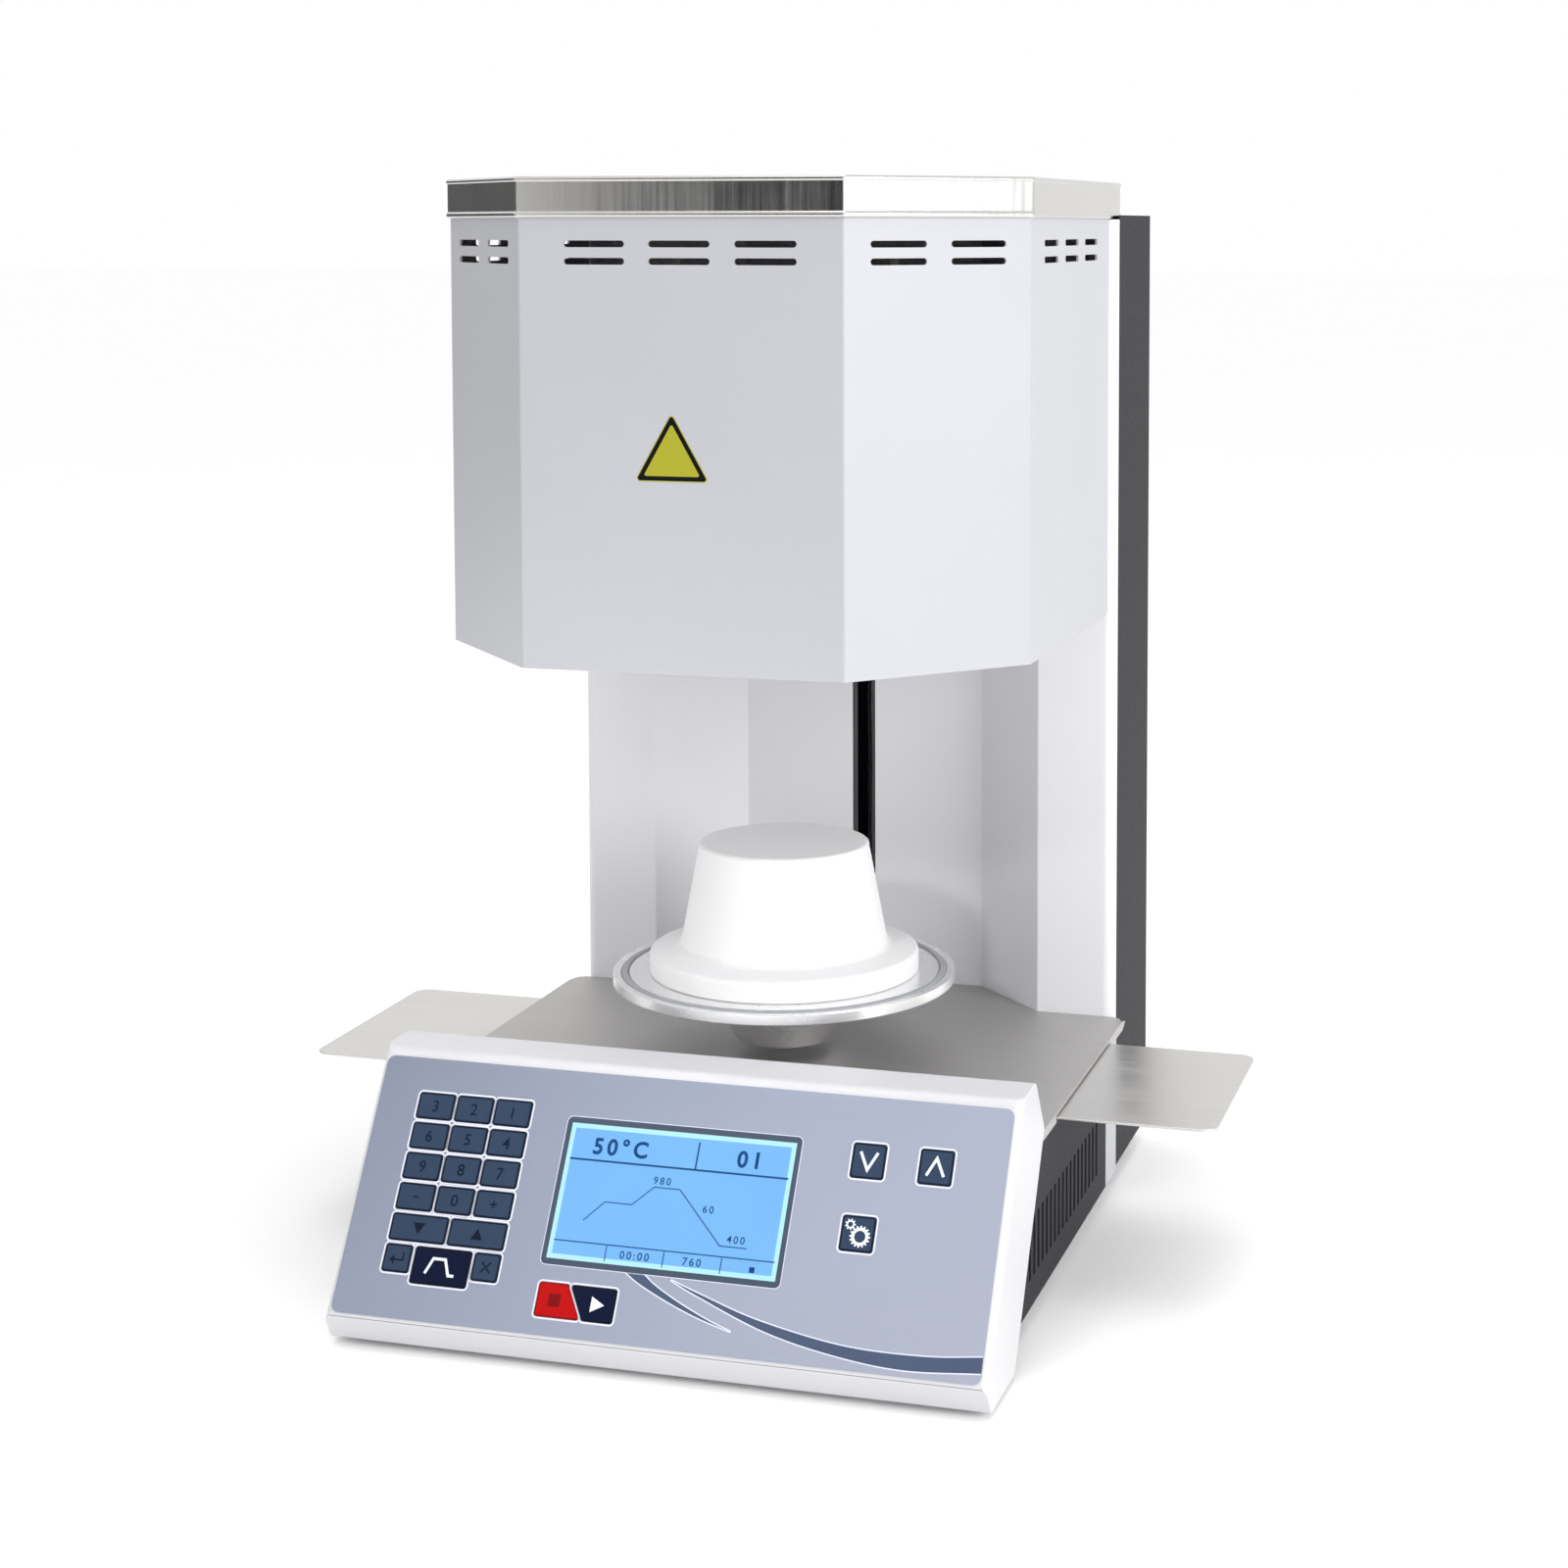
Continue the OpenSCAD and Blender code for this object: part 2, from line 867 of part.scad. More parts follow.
module head_top_cap() {
    corners = [
        for (q = offset_path(head_corners, -cap_overhang))
            [q[0], q[1] > wing_y - 1 ? cap_rear : q[1]]
    ];
    inner = offset_path(corners, sheet);
    top = head_top_z + cap_h;
    color("silver") {
        translate([0, 0, head_top_z])
            linear_extrude(cap_h)
                polygon(ribbon(soft_path(corners, bend_r), sheet));
        translate([0, 0, top - sheet])
            linear_extrude(sheet)
                polygon(soft_path(corners, bend_r));
        translate([0, 0, head_top_z])
            linear_extrude(sheet)
                polygon(concat(soft_path(corners, bend_r), reversed(offset_path(corners, 10))));
        translate([-inner[5][0], cap_rear - sheet, head_top_z])
            cube([2 * inner[5][0], sheet, cap_h]);
    }
}

module head_bottom_plate() {
    inset = sheet + 0.3;
    edge = offset_path(head_path, inset);
    gap = 0.5;
    color("whitesmoke")
        difference() {
            translate([0, 0, head_z])
                linear_extrude(panel_t)
                    polygon(concat(
                        edge,
                        [[half_mouth - 1, wing_y - gap], [half_recess - gap, recess_y - gap],
                         [-half_recess + gap, recess_y - gap], [-half_mouth + 1, wing_y - gap]]
                    ));
            translate([0, 0, head_z - 1])
                cylinder(r = bottom_hole_r, h = 5, $fn = 96);
        }
}

module vacuum_chamber() {
    color("silver") {
        ring(flange_in_r, flange_out_r, flange_z, flange_z + flange_t);
        ring(chamber_r - chamber_wall, chamber_r, flange_z + flange_t, chamber_top);
        ring(probe_r, chamber_r, chamber_top, chamber_top + lid_t);
    }
}

module chamber_insulation() {
    outer = chamber_r - chamber_wall - 0.5;
    throat_r = 57.5;
    shelf = flange_z + 16;
    color("linen") {
        ring(flange_in_r, outer, flange_z + flange_t, shelf);
        ring(throat_r, outer, shelf, muffle_low);
        ring(muffle_out_r + 0.5, outer, muffle_low, muffle_high);
        ring(probe_r, outer, muffle_high, chamber_top - 0.5);
    }
}

module heating_muffle() {
    color("bisque")
        ring(muffle_in_r, muffle_out_r, muffle_low, muffle_high);
}

module thermocouple() {
    head_low = chamber_top + lid_t;
    color("ivory") {
        translate([0, 0, muffle_high - 8])
            cylinder(r = probe_r - 0.5, h = head_low - muffle_high + 8);
        translate([0, 0, head_low])
            cylinder(r = 12, h = 14);
        for (x = [-60, 60])
            translate([x, 0, head_low]) {
                cylinder(r = 7, h = 10);
                translate([0, 0, 10])
                    cylinder(r = 3, h = 12);
            }
    }
}

// ---- Rear pocket ----

module connector_panel() {
    low = pocket_low - pocket_t;
    wide = 2 * (pocket_half_w + pocket_t);
    color("dimgray")
        difference() {
            translate([-wide / 2, pocket_y, low])
                cube([wide, rear_y - sheet - pocket_y, pocket_high - low + pocket_t]);
            translate([-pocket_half_w, pocket_y + pocket_t, pocket_low])
                cube([2 * pocket_half_w, 20, pocket_high - pocket_low]);
            translate([inlet_x - 13.7, pocket_y - 5, inlet_z - 28.2])
                cube([27.4, 20, 56.4]);
            translate([port_x, pocket_y - 5, port_z])
                rotate([-90, 0, 0])
                    cylinder(r = 6.2, h = 20);
        }
}

module inlet_module() {
    face = pocket_y + pocket_t;
    color("black")
        translate([inlet_x, face, inlet_z]) {
            difference() {
                union() {
                    translate([-16, 0, -31])
                        cube([32, 2.5, 62]);
                    translate([-13.5, -17, -28])
                        cube([27, 17, 56]);
                }
                translate([-12, -12.5, -23])
                    cube([24, 20, 16.5]);
                translate([-7, -13.5, 6])
                    cube([14, 20, 20]);
                translate([-9, -2, 16])
                    rotate([0, 90, 0])
                        cylinder(r = 1.2 + run_fit, h = 18);
            }
            for (pin = [[-7, -16.5], [7, -16.5], [0, -12.5]])
                translate([pin[0] - 1, -13, pin[1] - 2])
                    cube([2, 11, 4]);
        }
}

module power_rocker() {
    tilt = 8;
    color("firebrick")
        translate([inlet_x, pocket_y + pocket_t - 2, rocker_z])
            rotate([tilt, 0, 0]) {
                across(13.2)
                    polygon([[-6, -5], [-6, 5], [2.2, 9.2], [5.4, 8.8], [3.6, 0], [5.4, -8.8], [2.2, -9.2]]);
                rotate([0, 90, 0])
                    cylinder(r = 1.2, h = 17, center = true);
            }
}

module vacuum_port() {
    bore_r = 3;
    nut_d = 15;
    color("silver")
        translate([port_x, 0, port_z])
            rotate([-90, 0, 0])
                difference() {
                    union() {
                        translate([0, 0, pocket_y + pocket_t])
                            cylinder(d = nut_d, h = 5, $fn = 6);
                        translate([0, 0, pocket_y - 10])
                            cylinder(r = 6, h = 14);
                        translate([0, 0, pocket_y])
                            cylinder(r = port_r, h = port_end - pocket_y);
                    }
                    translate([0, 0, pocket_y - 12])
                        cylinder(r = bore_r, h = 50);
                }
}

module panel_screws() {
    head_r = 3.6;
    head_h = 2.2;
    color("silver")
        for (x = [-146, 146], z = [30, 190, 350, 510])
            translate([x, rear_y, z])
                rotate([-90, 0, 0])
                    difference() {
                        cylinder(r1 = head_r, r2 = head_r - 0.6, h = head_h);
                        translate([0, 0, 1])
                            cylinder(r = 1.5, h = 3, $fn = 6);
                    }
}

// ---- Nodes ----

control_housing();
control_back_cover();
membrane_overlay();
display_module();
power_board();
base_chassis();
base_side_panels();
deck_plate();
tray_guides();
feet();
column_front_panel();
rear_shell();
slot_seals();
column_frame();
guide_rods();
gear_motor();
head_housing();
head_top_cap();
head_bottom_plate();
vacuum_chamber();
chamber_insulation();
heating_muffle();
thermocouple();
connector_panel();
inlet_module();
vacuum_port();
panel_screws();
power_rocker();
tray_left();
tray_right();
lead_screw();
lead_nut();
lift_carriage();
lift_arm();
table_hub();
table_plate();
seal_ring();
firing_pedestal();
pad_key(0, 0);  // key_3
pad_key(1, 0);  // key_2
pad_key(2, 0);  // key_1
pad_key(0, 1);  // key_6
pad_key(1, 1);  // key_5
pad_key(2, 1);  // key_4
pad_key(0, 2);  // key_9
pad_key(1, 2);  // key_8
pad_key(2, 2);  // key_7
pad_key(0, 3);  // key_minus
pad_key(1, 3);  // key_0
pad_key(2, 3);  // key_plus
key_cap(box_points(arrow_down), "slategray");  // key_down
key_cap(box_points(arrow_up), "slategray");  // key_up
key_cap(box_points(enter_box), "slategray");  // key_enter
key_cap(box_points(program_box), "midnightblue");  // key_program
key_cap(box_points(escape_box), "slategray");  // key_escape
key_cap(stop_shape, "red");  // key_stop
key_cap(start_shape, "midnightblue");  // key_start
key_cap(box_points(table_down_box), "slategray");  // key_table_down
key_cap(box_points(table_up_box), "slategray");  // key_table_up
key_cap(box_points(settings_box), "slategray");  // key_settings
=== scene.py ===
"""Looks of the bench vacuum kiln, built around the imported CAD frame.

Sizes are in metres, and MM turns millimetres into metres. Pieces of the console are made in the
frame of its sloped face: X across, Y up the slope, Z out of the face.
"""

import math

import bmesh
import bpy
from mathutils import Matrix, Vector
from mathutils.geometry import convex_hull_2d
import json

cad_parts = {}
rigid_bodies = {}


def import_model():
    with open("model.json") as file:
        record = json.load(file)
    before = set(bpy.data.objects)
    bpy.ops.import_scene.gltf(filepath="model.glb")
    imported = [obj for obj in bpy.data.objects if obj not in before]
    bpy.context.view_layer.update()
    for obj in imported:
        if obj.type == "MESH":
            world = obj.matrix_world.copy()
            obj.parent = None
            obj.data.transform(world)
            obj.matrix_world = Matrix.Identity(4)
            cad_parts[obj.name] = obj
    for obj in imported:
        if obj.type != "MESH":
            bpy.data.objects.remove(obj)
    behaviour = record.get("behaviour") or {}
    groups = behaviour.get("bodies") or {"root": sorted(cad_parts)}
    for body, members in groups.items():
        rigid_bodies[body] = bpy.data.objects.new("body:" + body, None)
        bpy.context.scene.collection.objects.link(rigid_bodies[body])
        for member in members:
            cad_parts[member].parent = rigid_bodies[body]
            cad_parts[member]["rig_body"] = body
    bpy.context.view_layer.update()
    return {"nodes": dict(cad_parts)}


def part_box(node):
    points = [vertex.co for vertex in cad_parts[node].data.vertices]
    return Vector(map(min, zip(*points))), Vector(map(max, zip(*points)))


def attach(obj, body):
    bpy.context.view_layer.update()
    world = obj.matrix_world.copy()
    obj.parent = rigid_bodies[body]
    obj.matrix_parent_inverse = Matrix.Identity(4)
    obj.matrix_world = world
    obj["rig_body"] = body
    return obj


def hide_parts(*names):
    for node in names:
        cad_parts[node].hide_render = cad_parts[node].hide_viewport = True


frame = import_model()
NODES = frame["nodes"]
MM = 0.001

# ---------------------------------------------------------------------------------------------------
# Places shared with the CAD source
# ---------------------------------------------------------------------------------------------------

FACE_SLOPE = math.radians(58.2)
FACE_FOOT = Vector((0, -204.9, 18.5)) * MM
FACE = Matrix.Translation(FACE_FOOT) @ Matrix.Rotation(FACE_SLOPE, 4, "X")
FILM_TOP = 0.5                     # membrane film above the face, mm
KEY_TOP = 0.9                      # key caps above the face, mm
WINDOW = (0.5, 33.0, 117.7, 68.4)  # display window: middle, lower edge, width, height, mm
WINDOW_EDGE = 0.7                  # how far the window's printed border runs onto the film, mm
LIT = (114.0, 64.0)                # lit area of the display, mm
LIT_DOTS = 240                     # dots along the display's length
INK_SINK = 0.02                    # how far the film's printing starts below its surface, mm
INK_RISE = 0.03                    # how far the printing stands above it, mm

head_low, head_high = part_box("head_housing")
cap_low, cap_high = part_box("head_top_cap")
plate_low, plate_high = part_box("table_plate")
pedestal_low, pedestal_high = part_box("firing_pedestal")
hub_low, hub_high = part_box("table_hub")


# ---------------------------------------------------------------------------------------------------
# Materials
# ---------------------------------------------------------------------------------------------------

def linear(red, green, blue):
    """A display colour from 0 to 255 as the linear colour that shaders take."""
    def one(c):
        c /= 255
        return c / 12.92 if c <= 0.04045 else ((c + 0.055) / 1.055) ** 2.4
    return one(red), one(green), one(blue)


class Look:
    """A Principled material with short ways to add procedural detail."""

    def __init__(self, name, color, roughness, metallic=0.0, coat=0.0, coat_roughness=0.1, ior=1.5):
        self.material = bpy.data.materials.new(name)
        self.material.use_nodes = True
        self.tree = self.material.node_tree
        self.shader = self.tree.nodes["Principled BSDF"]
        self.color = color
        self.set("Base Color", (*color, 1))
        self.set("Roughness", roughness)
        self.set("Metallic", metallic)
        self.set("Coat Weight", coat)
        self.set("Coat Roughness", coat_roughness)
        self.set("IOR", ior)
        self.last_bump = None

    def set(self, socket, value):
        self.shader.inputs[socket].default_value = value

    def node(self, kind, **settings):
        made = self.tree.nodes.new(kind)
        for key, value in settings.items():
            setattr(made, key, value)
        return made

    def link(self, output, socket):
        self.tree.links.new(output, socket)

    def place(self, scale=(1, 1, 1)):
        """Object coordinates in metres, stretched by scale."""
        source = self.node("ShaderNodeTexCoord")
        mapping = self.node("ShaderNodeMapping")
        mapping.inputs["Scale"].default_value = scale
        self.link(source.outputs["Object"], mapping.inputs["Vector"])
        return mapping.outputs["Vector"]

    def radius(self):
        """Distance from the object's Z axis, in metres."""
        length = self.node("ShaderNodeVectorMath", operation="LENGTH")
        self.link(self.place((1, 1, 0)), length.inputs[0])
        return length.outputs["Value"]

    def height(self, axis="Z"):
        split = self.node("ShaderNodeSeparateXYZ")
        self.link(self.place(), split.inputs[0])
        return split.outputs[axis]

    def noise(self, vector, scale, detail=2.0, roughness=0.5):
        made = self.node("ShaderNodeTexNoise")
        made.inputs["Scale"].default_value = scale
        made.inputs["Detail"].default_value = detail
        made.inputs["Roughness"].default_value = roughness
        self.link(vector, made.inputs["Vector"])
        return made.outputs["Fac"]

    def lines(self, value, scale, detail=3.0):
        """Noise along one number, for turned and brushed marks."""
        made = self.node("ShaderNodeTexNoise", noise_dimensions="1D")
        made.inputs["Scale"].default_value = scale
        made.inputs["Detail"].default_value = detail
        self.link(value, made.inputs["W"])
        return made.outputs["Fac"]

    def span(self, value, low, high, out_low=0.0, out_high=1.0):
        """Value from low..high moved to out_low..out_high and held there."""
        made = self.node("ShaderNodeMapRange")
        ends = {"From Min": low, "From Max": high, "To Min": out_low, "To Max": out_high}
        for key, number in ends.items():
            made.inputs[key].default_value = number
        self.link(value, made.inputs["Value"])
        return made.outputs["Result"]

    def math(self, operation, a, b):
        made = self.node("ShaderNodeMath", operation=operation)
        for socket, value in zip(made.inputs, (a, b)):
            if isinstance(value, (int, float)):
                socket.default_value = value
            else:
                self.link(value, socket)
        return made.outputs["Value"]

    def blend(self, first, second, share):
        """Sum of two values, the first taken by share and the second by the rest."""
        return self.math("ADD", self.math("MULTIPLY", first, share),
                         self.math("MULTIPLY", second, round(1 - share, 2)))

    def mix(self, factor, first, second):
        """Colour from first to second; each is a colour or an output."""
        made = self.node("ShaderNodeMix", data_type="RGBA")
        self.link(factor, made.inputs["Factor"])
        for socket, value in zip((made.inputs[6], made.inputs[7]), (first, second)):
            if isinstance(value, tuple):
                socket.default_value = (*value, 1)
            else:
                self.link(value, socket)
        return made.outputs[2]

    def tone(self, factor, spread):
        """Base colour a little darker and lighter by spread, as factor goes from 0 to 1."""
        dark = tuple(c * (1 - spread) for c in self.color)
        light = tuple(min(1.0, c * (1 + spread)) for c in self.color)
        self.link(self.mix(factor, dark, light), self.shader.inputs["Base Color"])
        return self

    def rough(self, factor, low, high):
        self.link(self.span(factor, 0.25, 0.75, low, high), self.shader.inputs["Roughness"])
        return self

    def bump(self, height, strength, distance):
        made = self.node("ShaderNodeBump")
        made.inputs["Strength"].default_value = strength
        made.inputs["Distance"].default_value = distance
        self.link(height, made.inputs["Height"])
        if self.last_bump is not None:
            self.link(self.last_bump, made.inputs["Normal"])
        self.last_bump = made.outputs["Normal"]
        self.link(self.last_bump, self.shader.inputs["Normal"])
        return self


def enamel(name, color, roughness, peel=0.12, coat=0.12, ior=1.5):
    """Powder coat: a fine orange peel, faint cloudiness and a little gloss."""
    look = Look(name, color, roughness, coat=coat, coat_roughness=0.3, ior=ior)
    grain = look.noise(look.place(), scale=900, detail=2)
    fleck = look.noise(look.place(), scale=2600, detail=1)
    cloud = look.noise(look.place(), scale=14, detail=3)
    look.tone(look.blend(cloud, fleck, 0.7), 0.035)
    look.rough(grain, roughness - 0.05, roughness + 0.06)
    look.bump(grain, peel, 0.25 * MM)
    look.bump(fleck, peel * 0.6, 0.1 * MM)
    return look.material


def brushed(name, color, stretch, roughness, strength):
    """Brushed sheet: long thin scratches along the axis where stretch is small."""
    look = Look(name, color, roughness, 1.0)
    fine = look.noise(look.place(stretch), 1, 4, 0.6)
    coarse = look.noise(look.place(tuple(s * 0.22 for s in stretch)), 1, 3, 0.55)
    cloud = look.noise(look.place(), scale=22, detail=3)
    look.tone(look.blend(fine, coarse, 0.6), 0.16)
    look.rough(look.blend(coarse, cloud, 0.6), roughness - 0.07, roughness + 0.1)
    look.bump(fine, strength, 0.05 * MM)
    return look.material


def turned(name, color, roughness=0.24, strength=0.22, axis_marks=False):
    """Lathe-turned metal: fine rings round the Z axis."""
    look = Look(name, color, roughness, 1.0)
    rings = look.lines(look.radius(), 5200, 4)
    broad = look.lines(look.radius(), 700, 2)
    if axis_marks:
        along = look.lines(look.height(), 3800, 3)
        rings = look.math("MULTIPLY", look.math("ADD", rings, along), 0.5)
    smear = look.noise(look.place(), scale=40, detail=3)
    look.tone(look.blend(rings, broad, 0.5), 0.12)
    look.rough(smear, roughness - 0.05, roughness + 0.09)
    look.bump(rings, strength, 0.05 * MM)
    look.set("Anisotropic", 0.55)
    return look.material


def refractory(name, color, grain_strength=0.5, ring_pitch=1.25 * MM):
    """Pressed fibre board: a granular skin with the cutter's shallow rings."""
    look = Look(name, color, 0.93)
    grain = look.noise(look.place(), scale=1500, detail=3, roughness=0.65)
    coarse = look.noise(look.place(), scale=420, detail=3, roughness=0.6)
    phase = look.math("MULTIPLY", look.height(), 1 / ring_pitch)
    wobble = look.math("MULTIPLY", look.noise(look.place(), scale=60, detail=2), 0.5)
    saw = look.math("FRACT", look.math("ADD", phase, wobble), 0)
    groove = look.span(saw, 0.0, 0.35)
    look.tone(look.blend(grain, coarse, 0.5), 0.035)
    look.bump(grain, grain_strength, 0.22 * MM)
    look.bump(coarse, grain_strength, 0.3 * MM)
    look.bump(groove, 0.35, 0.12 * MM)
    return look.material


def moulded(name, color, roughness=0.5, strength=0.18, coat=0.0):
    """Moulded plastic or rubber with a fine spark-eroded texture."""
    look = Look(name, color, roughness, coat=coat)
    grain = look.noise(look.place(), scale=2200, detail=2)
    cloud = look.noise(look.place(), scale=90, detail=2)
    look.tone(cloud, 0.08)
    look.rough(grain, roughness - 0.06, roughness + 0.08)
    look.bump(grain, strength, 0.06 * MM)
    return look.material


def printed(name, color, roughness=0.42, spread=0.05):
    """Ink under a polyester film: almost flat, with a faint film grain."""
    look = Look(name, color, roughness, ior=1.22)
    grain = look.noise(look.place(), scale=3200, detail=2)
    cloud = look.noise(look.place(), scale=30, detail=2)
    look.tone(cloud, spread)
    look.rough(grain, roughness - 0.04, roughness + 0.05)
    look.bump(grain, 0.1, 0.03 * MM)
    return look.material


def membrane_material():
    """Printed gradient of the keypad film: deeper at its upper left, paler at its lower right."""
    look = Look("membrane_film", (0.4, 0.43, 0.55), 0.42, coat=0.08, coat_roughness=0.25, ior=1.4)
    across = look.span(look.height("X"), -0.16, 0.16)
    up = look.span(look.height("Y"), 0.0, 0.124)
    down = look.math("SUBTRACT", 1.0, up)
    ramp = look.node("ShaderNodeValToRGB")
    stops = ((0.0, linear(119, 125, 142)), (0.35, linear(132, 139, 157)),
             (0.7, linear(147, 152, 169)), (1.0, linear(152, 157, 173)))
    ramp.color_ramp.elements[0].position = stops[0][0]
    ramp.color_ramp.elements[1].position = stops[-1][0]
    for position, _ in stops[1:-1]:
        ramp.color_ramp.elements.new(position)
    for element, (_, color) in zip(ramp.color_ramp.elements, stops):
        element.color = (*color, 1)
    look.link(look.blend(across, down, 0.72), ramp.inputs["Fac"])
    grain = look.noise(look.place(), scale=2600, detail=2)
    look.link(look.mix(look.span(grain, 0.3, 0.7, 0.0, 0.05), ramp.outputs["Color"], (0.3, 0.33, 0.42)),
              look.shader.inputs["Base Color"])
    look.rough(grain, 0.38, 0.48)
    look.bump(grain, 0.12, 0.03 * MM)
    return look.material


def lit_material(name, color, edge, strength):
    """Backlit display: a faint pixel grid and a paler glow towards its edges."""
    look = Look(name, color, 0.25, coat=0.5, coat_roughness=0.08)
    pitch = LIT[0] / LIT_DOTS * MM
    lines = []
    for axis in "XY":
        saw = look.math("FRACT", look.math("MULTIPLY", look.height(axis), 1 / pitch), 0)
        lines.append(look.span(saw, 0.0, 0.16, 1.0, 0.0))
    grid = look.math("MAXIMUM", *lines)
    glow = look.noise(look.place(), scale=18, detail=1)
    tint = look.mix(look.span(glow, 0.3, 0.7, 0.0, 0.35), color, edge)
    tint = look.mix(look.math("MULTIPLY", grid, 0.1), tint, tuple(c * 0.6 for c in color))
    look.set("Base Color", (*(c * 0.16 for c in color), 1))
    look.link(tint, look.shader.inputs["Emission Color"])
    look.set("Emission Strength", strength)
    return look.material


# The head and the column share one white powder coat, here in two copies: the column's copy is lighter
# than the head's, as painted light where the head's overhang shades the column, and the head's copy is
# darker, as painted shade.
WHITE = enamel("white_enamel", (0.435, 0.440, 0.466), 0.42)
LIT_COLUMN_WHITE = enamel("column_enamel_painted_light", (0.685, 0.685, 0.71), 0.45)
CONSOLE_WHITE = enamel("console_enamel", (0.59, 0.59, 0.61), 0.4, peel=0.08)
DARK = enamel("dark_enamel", (0.0235, 0.0235, 0.028), 0.5, peel=0.2, coat=0.0, ior=1.14)
RIM_STEEL = brushed("rim_stainless", (0.62, 0.61, 0.60), (2300, 2300, 60), 0.18, 0.03)
DECK_STEEL = brushed("deck_stainless", (0.53, 0.52, 0.51), (24, 1100, 1100), 0.55, 0.1)
TRAY_STEEL = brushed("tray_stainless", (0.66, 0.65, 0.63), (14, 1100, 1100), 0.34, 0.14)
ZINC = brushed("zinc_steel", (0.47, 0.49, 0.51), (260, 260, 60), 0.4, 0.1)
GROUND = turned("ground_steel", (0.66, 0.66, 0.68), 0.14, 0.08, axis_marks=True)
ALUMINIUM = turned("turned_aluminium", (0.91, 0.91, 0.92), 0.24)
MILLED = brushed("milled_aluminium", (0.76, 0.76, 0.775), (60, 60, 1500), 0.3, 0.12)
BRASS = turned("nut_brass", (0.72, 0.52, 0.22), 0.22, 0.12, axis_marks=True)
NICKEL = brushed("nickel_brass", (0.66, 0.62, 0.50), (120, 900, 120), 0.2, 0.08)
FIBRE = refractory("refractory", (0.74, 0.74, 0.745))
QUARTZ = refractory("muffle_ceramic", (0.80, 0.76, 0.70), 0.3, 4 * MM)
FILM = membrane_material()
HALO = printed("film_outline", linear(214, 217, 228))
SLATE = printed("slate_key", linear(44, 60, 82))
# The keys' dark edge colours are painted shade: they stand in for the gap round each key.
SLATE_GAP_SHADE = printed("slate_key_gap_shade", linear(8, 18, 40))
NAVY = printed("navy_key", linear(2, 13, 44))
NAVY_GAP_SHADE = printed("navy_key_gap_shade", linear(3, 8, 26))
RED = printed("red_key", linear(172, 0, 0))
RED_GAP_SHADE = printed("red_key_gap_shade", linear(140, 0, 0))
INK = printed("dark_ink", linear(6, 20, 42))
PALE_INK = printed("pale_ink", linear(222, 228, 238))
RED_INK = printed("red_ink", linear(116, 0, 6))
BAND = printed("band_ink", linear(70, 82, 106), spread=0.15)
WINDOW_FRAME = printed("window_frame", linear(66, 76, 92), 0.35)
LIT_FIELD = lit_material("lit_field", linear(108, 180, 252), linear(124, 200, 255), 0.8)
LIT_EDGE = lit_material("lit_edge", linear(176, 236, 250), linear(190, 240, 250), 0.82)
PIXEL = printed("pixel_ink", linear(8, 62, 112), 0.3)
YELLOW = printed("label_yellow", linear(158, 156, 44))
BLACK_INK = printed("label_black", linear(10, 11, 14))
PLASTIC = moulded("black_plastic", (0.022, 0.022, 0.024), 0.5)
RED_PLASTIC = moulded("red_plastic", (0.55, 0.02, 0.015), 0.28, 0.06, coat=0.4)
RUBBER = moulded("black_rubber", (0.020, 0.020, 0.021), 0.62)
LIP_RUBBER = moulded("slot_lip_rubber", (0.045, 0.045, 0.048), 0.5)
GREY_RUBBER = moulded("grey_rubber", (0.34, 0.35, 0.37), 0.6)
BOARD = moulded("circuit_board", (0.03, 0.16, 0.07), 0.45)
HEATER = moulded("heater_wire", (0.20, 0.13, 0.09), 0.55, 0.3)


# ---------------------------------------------------------------------------------------------------
# Outlines
# ---------------------------------------------------------------------------------------------------

def left_of(a, b):
    d = (b - a).normalized()
    return Vector((-d.y, d.x))


def offset(points, distance, closed=True):
    """Points moved sideways by distance with mitred corners: to the left of the way they run."""
    points = [Vector(p) for p in points]
    count = len(points)
    moved = []
    for i, point in enumerate(points):
        before = left_of(points[i - 1], point) if closed or i > 0 else None
        after = left_of(point, points[(i + 1) % count]) if closed or i < count - 1 else None
        before, after = before or after, after or before
        middle = before + after
        moved.append(point + middle * (2 * distance / middle.length_squared))
    return moved


def rounded(points, radius, steps=5, closed=True):
    """The outline with its corners turned into arcs."""
    points = [Vector(p) for p in points]
    count = len(points)
    made = [] if closed else [points[0]]
    for i in range(count) if closed else range(1, count - 1):
        a, b, c = points[i - 1], points[i], points[(i + 1) % count]
        u, v = (a - b).normalized(), (c - b).normalized()
        half = math.acos(max(-1.0, min(1.0, u.dot(v)))) / 2
        centre = b + (u + v).normalized() * radius / math.sin(half)
        start = b + u * radius / math.tan(half) - centre
        end = b + v * radius / math.tan(half) - centre
        swing = start.angle_signed(end)
        for k in range(steps + 1):
            turn = -swing * k / steps
            made.append(centre + Matrix.Rotation(turn, 2) @ start)
    if not closed:
        made.append(points[-1])
    return made


def rectangle(x0, y0, x1, y1):
    return [Vector(p) for p in ((x0, y0), (x1, y0), (x1, y1), (x0, y1))]


def stroke(points, width):
    """Outline of a line of that width along points."""
    left = offset(points, width / 2, closed=False)
    right = offset(points, -width / 2, closed=False)
    return left + right[::-1]


def smooth(points, steps=10):
    """Catmull-Rom curve through the points."""
    points = [Vector(p) for p in points]
    ends = [2 * points[0] - points[1], *points, 2 * points[-1] - points[-2]]
    made = []
    for a, b, c, d in zip(ends, ends[1:], ends[2:], ends[3:]):
        for k in range(steps):
            t = k / steps
            made.append(0.5 * (2 * b + (c - a) * t + (2 * a - 5 * b + 4 * c - d) * t * t
                               + (3 * b - a - 3 * c + d) * t ** 3))
    return [*made, points[-1]]


def anticlockwise(points):
    """The same outline, run anticlockwise."""
    doubled_area = sum(a.x * b.y - b.x * a.y for a, b in zip(points, points[1:] + points[:1]))
    return points[::-1] if doubled_area < 0 else points


